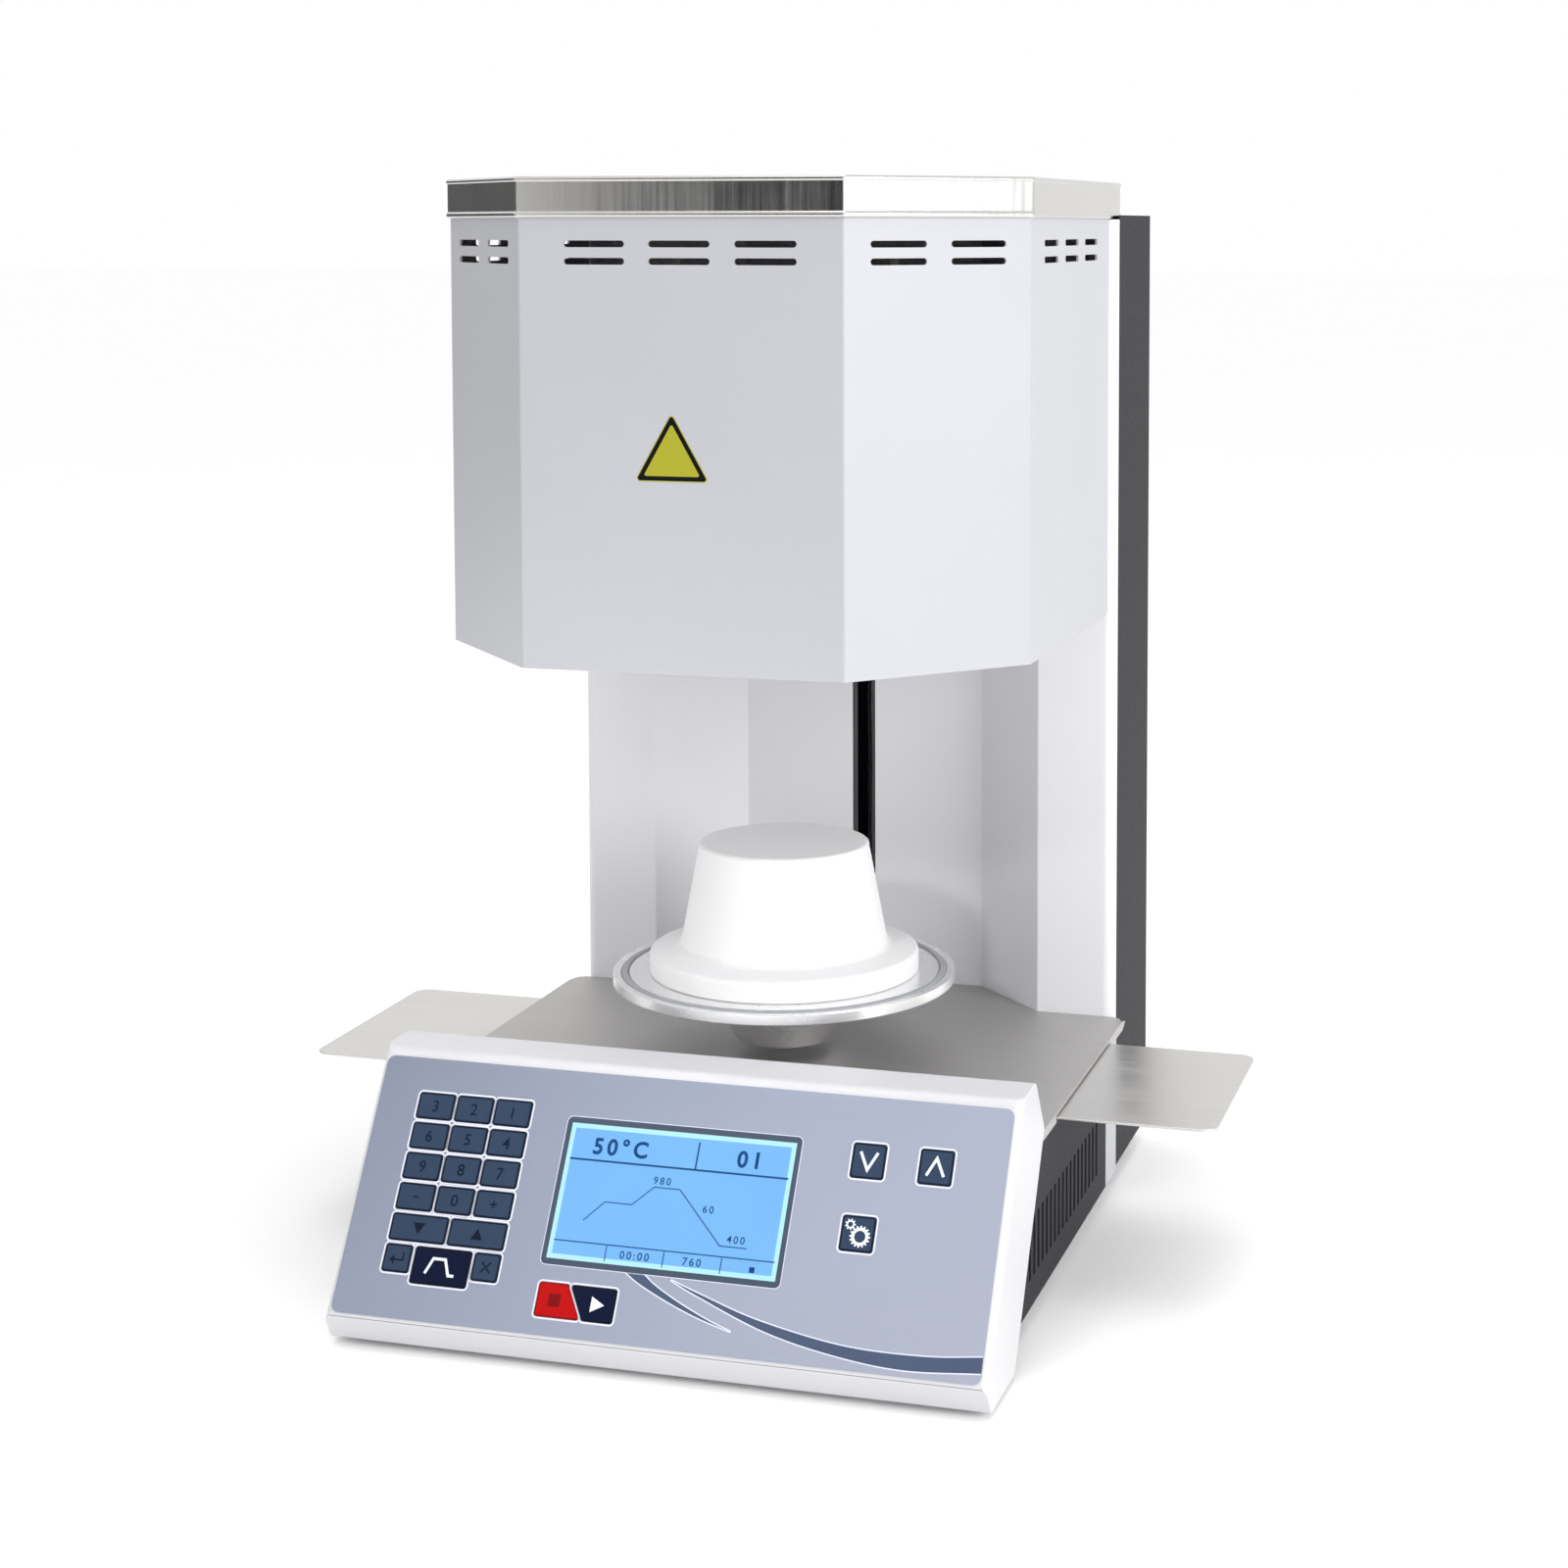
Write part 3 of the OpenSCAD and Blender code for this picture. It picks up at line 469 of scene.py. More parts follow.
def key_outline(node):
    """Outline of a key cap in the face's frame, in mm, anticlockwise."""
    back = FACE.inverted()
    flat = [(back @ v.co).xy / MM for v in NODES[node].data.vertices]
    apart = 0.02
    kept = []
    for point in anticlockwise([flat[i] for i in convex_hull_2d(flat)]):
        if not kept or (point - kept[-1]).length > apart:
            kept.append(point)
    return kept


# ---------------------------------------------------------------------------------------------------
# Meshes
# ---------------------------------------------------------------------------------------------------

WELD = 0.002 * MM             # vertices of a CAD mesh nearer than this are joined
FLAT = math.radians(1.0)      # CAD faces that meet at less than this are made one
FOLD = 34.0                   # edges that fold by more than this are broken, degrees


def finish_mesh(name, bm, materials, angle=35.0, matrix=None):
    """Turns a bmesh into an object with smooth shading up to that angle."""
    bmesh.ops.recalc_face_normals(bm, faces=bm.faces)
    mesh = bpy.data.meshes.new(name)
    bm.to_mesh(mesh)
    bm.free()
    for material in materials:
        mesh.materials.append(material)
    mesh.shade_smooth()
    made = bpy.data.objects.new(name, mesh)
    bpy.context.scene.collection.objects.link(made)
    if matrix is not None:
        made.matrix_world = matrix
    mark_sharp(mesh, angle)
    return made


def mark_sharp(mesh, angle):
    bm = bmesh.new()
    bm.from_mesh(mesh)
    limit = math.radians(angle)
    for edge in bm.edges:
        edge.smooth = len(edge.link_faces) == 2 and edge.calc_face_angle(0.0) < limit
    bm.to_mesh(mesh)
    bm.free()


def flat_weighted(piece):
    """Lets the large faces set the normals they share with small ones, so that flats look flat."""
    piece.modifiers.new("flat_normals", "WEIGHTED_NORMAL").keep_sharp = True
    return piece


def row(bm, points, z):
    """Adds vertices for the points at one height, all in mm."""
    return [bm.verts.new((p.x * MM, p.y * MM, z * MM)) for p in points]


def wrap(bm, lower, upper, slot=0):
    """Adds the faces between two closed rows of as many vertices."""
    count = len(lower)
    for i in range(count):
        j = (i + 1) % count
        bm.faces.new((lower[i], lower[j], upper[j], upper[i])).material_index = slot


def add_prism(bm, outline, low, high, slot=0, edge=0.0):
    """Adds a plate between two heights, in mm, with its upper edge chamfered by edge."""
    levels = [(outline, low), (outline, high - edge)]
    if edge:
        levels.append((offset(outline, edge), high))
    rows = [row(bm, points, z) for points, z in levels]
    bm.faces.new(rows[0][::-1]).material_index = slot
    bm.faces.new(rows[-1]).material_index = slot
    for lower, upper in zip(rows, rows[1:]):
        wrap(bm, lower, upper, slot)


def add_ring(bm, inner, outer, low, high, slot=0):
    """Adds a frame between two outlines of as many points and two heights, in mm."""
    rows = [row(bm, points, z)
            for points, z in ((inner, low), (outer, low), (outer, high), (inner, high))]
    for lower, upper in zip(rows, rows[1:] + rows[:1]):
        wrap(bm, lower, upper, slot)


def around(count):
    """Angles once round in equal steps, in radians."""
    return [2 * math.pi * k / count for k in range(count)]


def lathe(name, profile, material, segments=192, angle=35.0, centre=(0, 0)):
    """Turns a closed [r, z] profile in mm round a vertical axis."""
    bm = bmesh.new()
    rows = []
    for r, z in profile:
        rows.append([bm.verts.new(((centre[0] + r * math.cos(a)) * MM,
                                   (centre[1] + r * math.sin(a)) * MM,
                                   z * MM)) for a in (around(segments) if r else [0.0])])
    for lower, upper in zip(rows, rows[1:] + rows[:1]):
        for k in range(segments):
            n = (k + 1) % segments
            corners = [lower[k % len(lower)], lower[n % len(lower)],
                       upper[n % len(upper)], upper[k % len(upper)]]
            unique = list(dict.fromkeys(corners))
            if len(unique) > 2:
                bm.faces.new(unique)
    return flat_weighted(finish_mesh(name, bm, [material], angle))


def arc(x, z, radius, start, end, steps=5):
    """Points of an arc in a profile, angles in degrees."""
    angles = [math.radians(start + (end - start) * k / steps) for k in range(steps + 1)]
    return [(x + radius * math.cos(a), z + radius * math.sin(a)) for a in angles]


def keep(piece, body, slot, *replaced):
    """The piece rides on a body and stands for some CAD nodes; the slot is not used."""
    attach(piece, body)
    if replaced:
        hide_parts(*replaced)
    return piece


def body_of_node(node):
    return NODES[node]["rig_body"]


def welded(node):
    """A CAD node's mesh with its split vertices joined and its flat faces made whole."""
    bm = bmesh.new()
    bm.from_mesh(NODES[node].data)
    bmesh.ops.remove_doubles(bm, verts=bm.verts, dist=WELD)
    bmesh.ops.dissolve_limit(bm, angle_limit=FLAT, verts=bm.verts, edges=bm.edges)
    return bm


def softened(node, material, slot, width=0.4, segments=2, shortest=0.0):
    """Copy of a CAD node with welded faces and its edges broken by a small round.

    Edges under the shortest length, in mm, stay sharp: it keeps rows of vent slots as they are.
    """
    bm = welded(node)
    if not shortest:
        bmesh.ops.connect_verts_concave(bm, faces=bm.faces)
    weight = bm.edges.layers.float.new("bevel_weight_edge")
    for edge in bm.edges:
        folded = len(edge.link_faces) == 2 and edge.calc_face_angle(0.0) > math.radians(FOLD)
        edge[weight] = float(folded and edge.calc_length() > shortest * MM)
    piece = finish_mesh(node + "_finished", bm, [material], FOLD)
    if width:
        bevel = piece.modifiers.new("broken_edges", "BEVEL")
        bevel.width = width * MM
        bevel.segments = segments
        bevel.limit_method = "WEIGHT"
        bevel.use_clamp_overlap = False
        bevel.miter_outer = "MITER_ARC"
    flat_weighted(piece)
    return keep(piece, body_of_node(node), slot, node)


CAP_HEIGHT = 0.729                # capitals of the built-in font, at size 1


def letters(bm, text, centre, height, top, weight, spacing=1.0):
    """Adds numerals from the built-in font, height in mm, centred in the face's frame."""
    curve = bpy.data.curves.new("numeral", "FONT")
    curve.body = text
    curve.size = 1.0
    curve.offset = weight
    curve.space_character = spacing
    curve.resolution_u = 4
    temporary = bpy.data.objects.new("numeral", curve)
    mesh = bpy.data.meshes.new_from_object(temporary)
    xs = [v.co.x for v in mesh.vertices]
    ys = [v.co.y for v in mesh.vertices]
    scale = height / CAP_HEIGHT * MM
    shift = Vector(((min(xs) + max(xs)) / 2, (min(ys) + max(ys)) / 2, 0))
    first = len(bm.verts)
    bm.from_mesh(mesh)
    bm.verts.ensure_lookup_table()
    for vert in bm.verts[first:]:
        vert.co = (vert.co - shift) * scale + Vector((centre[0] * MM, centre[1] * MM, top * MM))
    bpy.data.objects.remove(temporary)
    bpy.data.curves.remove(curve)
    bpy.data.meshes.remove(mesh)


# ---------------------------------------------------------------------------------------------------
# Casings
# ---------------------------------------------------------------------------------------------------

def casings():
    softened("control_housing", CONSOLE_WHITE, "white_enamel", 0.5, 3)
    softened("control_back_cover", WHITE, "white_enamel", 0.3)
    softened("base_chassis", WHITE, "white_enamel", 0.3)
    softened("base_side_panels", DARK, "dark_enamel", 0.3, shortest=40)
    # Painted light: the column takes the lighter copy of the white enamel.
    softened("column_front_panel", LIT_COLUMN_WHITE, "white_enamel", 0.4)
    softened("rear_shell", DARK, "dark_enamel", 0.4, shortest=50)
    softened("slot_seals", LIP_RUBBER, "black_rubber", 0.5, 3)
    softened("head_housing", WHITE, "white_enamel", 0.4, 3, shortest=40)
    # Painted light: the head's bottom plate takes the column's lighter copy, so that it bounces more
    # light onto the pedestal.
    softened("head_bottom_plate", LIT_COLUMN_WHITE, "white_enamel", 0.35)
    softened("deck_plate", DECK_STEEL, "stainless", 0.3)
    softened("tray_left", TRAY_STEEL, "stainless", 0.35, 3)
    softened("tray_right", TRAY_STEEL, "stainless", 0.35, 3)
    softened("connector_panel", DARK, "dark_enamel", 0.3)
    softened("column_frame", ZINC, "zinc_steel", 0.3)
    softened("tray_guides", ZINC, "zinc_steel", 0.3)


def head_outline(rear):
    """Corners of the head seen from above, in mm, clockwise from its right rear one."""
    half, front = head_high.x / MM, head_low.y / MM
    facet_half, side_front = 81.0, -76.5
    body = [(half, rear), (half, side_front), (facet_half, front)]
    return [*body, *[(-x, y) for x, y in reversed(body)]]


def top_cap():
    """Stainless cap: a folded rim with a rolled lower hem and a rounded upper edge."""
    low, high = cap_low.z / MM, cap_high.z / MM
    overhang = (cap_high.x - head_high.x) / MM
    rim = rounded(offset(head_outline(cap_high.y / MM - overhang), overhang), 2.6, 6)
    inward = -1.0
    bead_r, bead_z = 1.5, low + 1.5
    wall, sheet = 0.7, 1.2
    lining_depth = 2.4
    bead = [(bead_r - bead_r * math.cos(a), bead_z + bead_r * 1.15 * math.sin(a))
            for a in [math.radians(15 * k) for k in range(-5, 5)]]
    profile = [
        (lining_depth, low), (1.4, low), *bead, (wall, bead_z + 2.0), (wall, high - 2.6),
        (0.5, high - 2.3), (0.15, high - 1.95), (0.05, high - 1.7), (0.05, high - 1.0),
        (0.3, high - 0.45), (0.75, high - 0.12), (1.4, high),
    ]
    bm = bmesh.new()
    rows = [row(bm, offset(rim, inward * depth), z) for depth, z in profile]
    for lower, upper in zip(rows, rows[1:]):
        wrap(bm, lower, upper)
    bm.faces.new(rows[-1])
    inside = offset(rim, inward * lining_depth)
    under = row(bm, inside, low + sheet)
    wrap(bm, rows[0], under)
    lining = row(bm, inside, high - sheet)
    wrap(bm, under, lining)
    bm.faces.new(lining)
    piece = flat_weighted(finish_mesh("head_cap_folded", bm, [RIM_STEEL], 50))
    keep(piece, "frame", "stainless", "head_top_cap")


# ---------------------------------------------------------------------------------------------------
# Table and lift
# ---------------------------------------------------------------------------------------------------

def table():
    top, low, r = plate_high.z / MM, plate_low.z / MM, plate_high.x / MM
    seal_in, seal_out, groove = 82.0, 86.0, 2.0
    under_r, brim_r = 0.8, 0.3
    plate = lathe("table_plate_turned", [
        (0, low), (r - under_r, low), *arc(r - under_r, low + under_r, under_r, -90, 0),
        *arc(r - brim_r, top - brim_r, brim_r, 0, 90),
        (seal_out + brim_r, top), (seal_out, top - brim_r), (seal_out, top - groove),
        (seal_in, top - groove), (seal_in, top - brim_r), (seal_in - brim_r, top), (0, top),
    ], ALUMINIUM, 256)
    keep(plate, "lift_table", "turned_aluminium", "table_plate")
    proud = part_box("seal_ring")[1].z / MM
    gap, seal_r, half_flat = 0.1, 0.8, 1.0
    seal_middle = (seal_in + seal_out) / 2
    seal = lathe("table_seal", [
        (seal_in + gap, top - groove), (seal_out - gap, top - groove), (seal_out - gap, top),
        *arc(seal_middle + half_flat, proud - seal_r, seal_r, 0, 90),
        *arc(seal_middle - half_flat, proud - seal_r, seal_r, 90, 180), (seal_in + gap, top),
    ], GREY_RUBBER, 256)
    keep(seal, "lift_table", "grey_rubber", "seal_ring")
    hub_top = hub_high.z / MM
    hub_foot = hub_low.z / MM
    cone_top = hub_foot + 22
    hub = lathe("table_hub_turned", [
        (0, hub_foot), (23.2, hub_foot), *arc(23.2, hub_foot + 3, 3, -84, -34),
        (30.6, hub_foot + 9), (37.4, cone_top - 0.8), *arc(37.2, cone_top, 0.8, -20, 0, 2),
        (38, hub_top), (0, hub_top),
    ], ALUMINIUM, 192)
    keep(hub, "lift_table", "turned_aluminium", "table_hub")
    softened("lift_arm", MILLED, "turned_aluminium", 0.6, 3)
    softened("lift_carriage", MILLED, "turned_aluminium", 0.8, 3)
    softened("lead_nut", BRASS, "nut_brass", 0.4)
    softened("lead_screw", GROUND, "ground_steel", 0.3)
    softened("guide_rods", GROUND, "ground_steel", 0.4)


def pedestal():
    """Refractory cone on a flange, with soft worn edges and the cutter's rings."""
    base, top = pedestal_low.z / MM, pedestal_high.z / MM
    flange = pedestal_high.x / MM
    cone_foot, cone_top, shoulder = 55.0, 45.0, 13.6
    edge, edge_r, cutter_mark = 11.6, 2.6, 0.16
    foot_round, head_round = 2.0, 2.2
    steps = 30
    wall = [(cone_foot - 0.6 + (cone_top - cone_foot + 0.6) * t, base + shoulder + foot_round
             + (top - head_round - base - shoulder - foot_round) * t)
            for t in [k / steps for k in range(steps + 1)]]
    ringed = [(x - (cutter_mark if i % 2 else 0.0), z) for i, (x, z) in enumerate(wall)]
    piece = lathe("pedestal_turned", [
        (0, base), (flange - 1.0, base), *arc(flange - 1.0, base + 1.0, 1.0, -90, 0),
        *arc(flange - edge_r, base + edge - edge_r, edge_r, 0, 84, 7),
        (64, base + 12.5), (58.5, base + 13.25),
        *[(58.0 - 3.4 * math.sin(math.radians(a)), base + 16.0 - 2.7 * math.cos(math.radians(a)))
          for a in (10, 35, 60)],
        *ringed, *arc(cone_top - 2.0, top - 2.0, 2.0, 12, 90, 6), (0, top),
    ], FIBRE, 256, 60)
    keep(piece, "lift_table", "refractory", "firing_pedestal")


# ---------------------------------------------------------------------------------------------------
# Head's inside
# ---------------------------------------------------------------------------------------------------

def muffle():
    """Ceramic ring with the heater winding let into its bore."""
    low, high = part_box("heating_muffle")
    outer, inner = high.x / MM, 52.5
    z0, z1 = low.z / MM, high.z / MM
    piece = lathe("muffle_ring", [
        (inner + 0.8, z0), (outer - 0.8, z0), (outer, z0 + 0.8), (outer, z1 - 0.8), (outer - 0.8, z1),
        (inner + 0.8, z1), (inner, z1 - 0.8), (inner, z0 + 0.8),
    ], QUARTZ, 160)
    keep(piece, "frame", "refractory", "heating_muffle")
    turns, per_turn, wire, end_gap = 11, 72, 1.1, 6
    middle = inner + 0.6
    rise = (z1 - z0 - 2 * end_gap) / turns
    bm = bmesh.new()
    rows = []
    for k in range(turns * per_turn + 1):
        a = 2 * math.pi * k / per_turn
        z = z0 + end_gap + rise * k / per_turn
        rows.append([bm.verts.new((
            (middle + wire * math.cos(b)) * math.cos(a) * MM,
            (middle + wire * math.cos(b)) * math.sin(a) * MM,
            (z + wire * math.sin(b)) * MM)) for b in around(8)])
    for lower, upper in zip(rows, rows[1:]):
        wrap(bm, lower, upper)
    bm.faces.new(rows[0])
    bm.faces.new(rows[-1])
    winding = finish_mesh("heater_winding", bm, [HEATER], 60)
    keep(winding, "frame", "refractory")


def chamber():
    softened("chamber_insulation", FIBRE, "refractory", 0.8, 2)
    softened("vacuum_chamber", ZINC, "zinc_steel", 0.5)
    softened("thermocouple", QUARTZ, "refractory", 0.4)


# ---------------------------------------------------------------------------------------------------
# Console face
# ---------------------------------------------------------------------------------------------------

def film():
    """The keypad film, cut round the keys and the display as the CAD node is."""
    bm = welded("membrane_overlay")
    bm.transform(FACE.inverted())
    piece = finish_mesh("keypad_film", bm, [FILM], 35, FACE)
    keep(piece, "frame", "membrane_film", "membrane_overlay")


KEYS = [n for n in NODES if n.startswith("key_")]
KEY_LOOKS = {
    "key_program": (NAVY, NAVY_GAP_SHADE, "navy_key"),
    "key_start": (NAVY, NAVY_GAP_SHADE, "navy_key"),
    "key_stop": (RED, RED_GAP_SHADE, "red_key"),
}


def key_caps():
    """One cap per key: a coloured field with a dark edge round it, painted shade of the gap round the
    key, on a domed film.
    """
    border, skirt, chamfer, fall = 0.75, -0.6, 0.15, 0.02
    for node in KEYS:
        face, edge, slot = KEY_LOOKS.get(node, (SLATE, SLATE_GAP_SHADE, "slate_key"))
        outline = key_outline(node)
        field = offset(outline, border)
        bm = bmesh.new()
        levels = [(outline, skirt), (outline, KEY_TOP - chamfer),
                  (offset(outline, chamfer), KEY_TOP - fall), (field, KEY_TOP)]
        rows = [row(bm, points, z) for points, z in levels]
        for lower, upper in zip(rows, rows[1:]):
            # Slot 1, the cap's sides and dark edge, is painted shade of the gap round the key.
            wrap(bm, lower, upper, 1)
        bm.faces.new(rows[0][::-1]).material_index = 1
        bm.faces.new(rows[-1]).material_index = 0
        piece = finish_mesh(node + "_cap", bm, [face, edge], 50, FACE)
        keep(piece, node, slot, node)


def key_outlines():
    """Pale printed line round every key and round the display."""
    near, far = 0.35, 1.2
    low, top = FILM_TOP - INK_SINK, FILM_TOP + INK_RISE
    bm = bmesh.new()
    for node in KEYS:
        outline = key_outline(node)
        add_ring(bm, offset(outline, -near), offset(outline, -far), low, top)
    window = window_outline(WINDOW_EDGE)
    add_ring(bm, offset(window, 0.1), offset(window, -near), low, top)
    piece = finish_mesh("film_outlines", bm, [HALO], 35, FACE)
    keep(piece, "frame", "membrane_film")


def middle_of(node):
    points = key_outline(node)
    xs, ys = [p.x for p in points], [p.y for p in points]
    return Vector(((min(xs) + max(xs)) / 2, (min(ys) + max(ys)) / 2))


def place(points, centre):
    return [Vector(p) + centre for p in points]


def gear(bm, centre, outer, root, hole, teeth, low, high):
    """Toothed ring, for the settings mark."""
    points, inner = [], []
    for k in range(teeth):
        for share, r in ((-0.30, root), (-0.17, outer), (0.17, outer), (0.30, root)):
            a = 2 * math.pi * (k + share) / teeth
            points.append(centre + Vector((math.cos(a), math.sin(a))) * r)
            inner.append(centre + Vector((math.cos(a), math.sin(a))) * hole)
    add_ring(bm, inner, points, low, high)


def key_marks():
    """What is printed on the keys: numerals and plain symbols."""
    low, high = KEY_TOP - INK_RISE, KEY_TOP + INK_RISE
    thin, thick = 0.75, 1.35
    numerals = {f"key_{n}": str(n) for n in range(10)}
    shapes = {
        "key_plus": [stroke([(-1.7, 0), (1.7, 0)], thin), stroke([(0, -1.7), (0, -thin / 2)], thin),
                     stroke([(0, thin / 2), (0, 1.7)], thin)],
        "key_minus": [stroke([(-1.5, 0), (1.5, 0)], thin)],
        "key_up": [[(-3.1, -2.6), (3.1, -2.6), (0, 2.8)]],
        "key_down": [[(-3.1, 2.6), (0, -2.8), (3.1, 2.6)]],
        "key_enter": [stroke([(3.0, 2.8), (3.0, -0.8), (-1.6, -0.8)], 0.8),
                      [(-3.8, -0.8), (-1.4, -2.9), (-1.4, 1.3)]],
        "key_escape": [stroke([(-2.4, -2.4), (2.4, 2.4)], 0.85),
                       stroke([(-2.4, 2.4), (-0.42, 0.42)], 0.85),
                       stroke([(0.42, -0.42), (2.4, -2.4)], 0.85)],
        "key_program": [stroke([(-7.5, -3.6), (-4.4, 3.6), (1.8, 3.6), (4.6, -3.6), (7.5, -3.6)],
                               thick)],
        "key_stop": [rectangle(-3.0, -3.0, 3.0, 3.0)],
        "key_start": [[(-2.8, -3.6), (3.9, 0), (-2.8, 3.6)]],
        "key_table_down": [stroke([(-4.2, 4.1), (0, -4.1), (4.2, 4.1)], thick)],
        "key_table_up": [stroke([(-4.2, -4.1), (0, 4.1), (4.2, -4.1)], thick)],
        "key_settings": [],
    }
    shifts = {"key_stop": Vector((-2.2, 0)), "key_start": Vector((2.4, 0))}
    pale = ("key_program", "key_start", "key_table_down", "key_table_up", "key_settings")
    inks = {"key_stop": RED_INK, **dict.fromkeys(pale, PALE_INK)}
    for node in KEYS:
        centre = middle_of(node) + shifts.get(node, Vector((0, 0)))
        bm = bmesh.new()
        if node in numerals:
            letters(bm, numerals[node], centre, 5.7, high, weight=0.008)
        for shape in shapes.get(node, []):
            add_prism(bm, anticlockwise(place(shape, centre)), low, high)
        if node == "key_settings":
            gear(bm, centre + Vector((1.3, -1.2)), 5.0, 4.1, 2.7, 16, low, high)
            gear(bm, centre + Vector((-4.0, 4.0)), 2.6, 1.9, 1.2, 9, low, high)
        piece = finish_mesh(node + "_mark", bm, [inks.get(node, INK)], 30, FACE)
        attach(piece, node)


def accent_bands():
    """Two printed sweeps under the display, each with a pale line along it."""
    main_top = smooth([(7.1, 31.0), (21.4, 26.4), (52.3, 17.4), (94, 10.4), (131.9, 9.7),
                       (159.9, 12.2)])
    main_low = smooth([(7.1, 31.0), (21.6, 25.0), (56, 12.8), (90, 5.9), (123.5, 2.9),
                       (159.9, 5.2)])
    side_top = smooth([(-6.9, 32.4), (0.4, 27.5), (13.5, 21.0), (28.4, 14.9), (40.2, 11.0)])
    side_low = smooth([(-15.8, 32.4), (-7.7, 27.7), (7.5, 21.1), (23.4, 15.5), (40.2, 11.0)])
    line = 0.55
    low, band_high, line_high = FILM_TOP - INK_SINK, FILM_TOP + INK_RISE, FILM_TOP + 0.025
    for name, upper, lower in (("accent_main", main_top, main_low),
                               ("accent_side", side_top, side_low)):
        bm = bmesh.new()
        add_strip(bm, upper, lower, low, band_high, 0)
        add_strip(bm, offset(upper, line, closed=False), upper, low, line_high, 1)
        add_strip(bm, lower, offset(lower, -line, closed=False), low, line_high, 1)
        piece = finish_mesh(name, bm, [BAND, HALO], 35, FACE)
        keep(piece, "frame", "membrane_film")


def add_strip(bm, upper, lower, low, high, slot):
    """A band between two curves with as many points each, closed all round."""
    rows = [row(bm, curve, z)
            for curve, z in ((upper, low), (lower, low), (lower, high), (upper, high))]
    for first, second in zip(rows, rows[1:] + rows[:1]):
        for i in range(len(first) - 1):
            bm.faces.new((first[i], first[i + 1], second[i + 1], second[i])).material_index = slot
    for end in (0, -1):
        bm.faces.new([side[end] for side in rows]).material_index = slot
    bmesh.ops.remove_doubles(bm, verts=bm.verts, dist=0.001 * MM)


def window_outline(grow, radius=2.6):
    """Outline of the display's window, made larger by grow, in mm."""
    x, low, width, height = WINDOW
    half = width / 2 + grow
    return rounded(rectangle(x - half, low - grow, x + half, low + height + grow), radius)


def display():
    """Printed window frame, lit field and what the display shows."""
    x, low, width, height = WINDOW
    left, bottom = x - LIT[0] / 2, low + (height - LIT[1]) / 2
    right, top = left + LIT[0], bottom + LIT[1]
    lit = rounded(rectangle(left, bottom, right, top), 0.4)
    glow = 2.3
    field = rounded(rectangle(left + glow, bottom + glow, right - glow, top - glow), 0.4)
    bm = bmesh.new()
    sunk, frame_low, frame_high = 0.3, FILM_TOP + 0.02, FILM_TOP + 0.05
    add_ring(bm, lit, window_outline(-0.05, 1.0), sunk, frame_low, 0)
    add_ring(bm, lit, window_outline(WINDOW_EDGE), frame_low, frame_high, 0)
    add_ring(bm, field, lit, sunk, FILM_TOP, 1)
    add_prism(bm, field, sunk, FILM_TOP, 2)
    window = finish_mesh("display_window", bm, [WINDOW_FRAME, LIT_EDGE, LIT_FIELD], 30, FACE)
    keep(window, "frame", "display_glass")

    def at(u, v):
        """Place on the lit area from shares of its length and of its height downwards."""
        return Vector((left + u * LIT[0], top - v * LIT[1]))

    ink_low, ink_high = FILM_TOP - INK_SINK, FILM_TOP + 0.02
    bold, fine = 0.028, 0.012
    bm = bmesh.new()
    rules = [([at(0.018, 0.265), at(0.985, 0.265)], 0.9),
             ([at(0.578, 0.06), at(0.578, 0.258)], 0.8),
             ([at(0.018, 0.865), at(0.985, 0.865)], 0.55)]
    rules += [([at(u, 0.872), at(u, 0.985)], 0.5) for u in (0.255, 0.508, 0.759)]
    firing_curve = ((0.13, 0.707), (0.21, 0.56), (0.33, 0.56), (0.414, 0.418), (0.528, 0.418),
                    (0.74, 0.79), (0.857, 0.79))
    rules.append(([at(u, v) for u, v in firing_curve], 0.5))
    for points, thick in rules:
        add_prism(bm, anticlockwise(stroke(points, thick)), ink_low, ink_high)
    stop_mark, half = at(0.894, 0.935), Vector((1.3, 1.3))
    add_prism(bm, rectangle(*(stop_mark - half), *(stop_mark + half)), ink_low, ink_high)
    for text, u, v, size, weight in (
            ("50°C", 0.235, 0.155, 7.8, bold), ("01", 0.80, 0.155, 7.8, bold),
            ("980", 0.444, 0.368, 3.5, fine), ("60", 0.665, 0.54, 3.5, fine),
            ("400", 0.805, 0.737, 3.5, fine), ("00:00", 0.382, 0.925, 3.7, fine),
            ("760", 0.633, 0.925, 3.7, fine)):
        letters(bm, text, at(u, v), size, ink_high, weight=weight, spacing=1.35)
    marks = finish_mesh("display_marks", bm, [PIXEL], 30, FACE)
    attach(marks, "frame")
    NODES["display_module"].data.materials.clear()
    NODES["display_module"].data.materials.append(PLASTIC)


def warning_label():
    """Plain yellow triangle with a black edge, with no symbol on it."""
    front = head_low.y / MM
    x, low, side = -3.9, 414.8, 37.4
    tall = side * 0.875
    corners = [(x - side / 2, low), (x + side / 2, low), (x, low + tall)]
    outer = rounded(corners, 1.6)
    bm = bmesh.new()
    add_prism(bm, outer, -0.05, 0.10, 0, 0.03)
    add_prism(bm, offset(outer, 0.45), 0.08, 0.13, 1)
    add_prism(bm, rounded(offset(corners, 2.6), 0.8), 0.10, 0.15, 0)
    upright = Matrix.Translation((0, front * MM, 0)) @ Matrix.Rotation(math.radians(90), 4, "X")
    piece = finish_mesh("plain_triangle", bm, [YELLOW, BLACK_INK], 30, upright)
    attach(piece, "frame")


# ---------------------------------------------------------------------------------------------------
# Feet, rear and inner parts
# ---------------------------------------------------------------------------------------------------

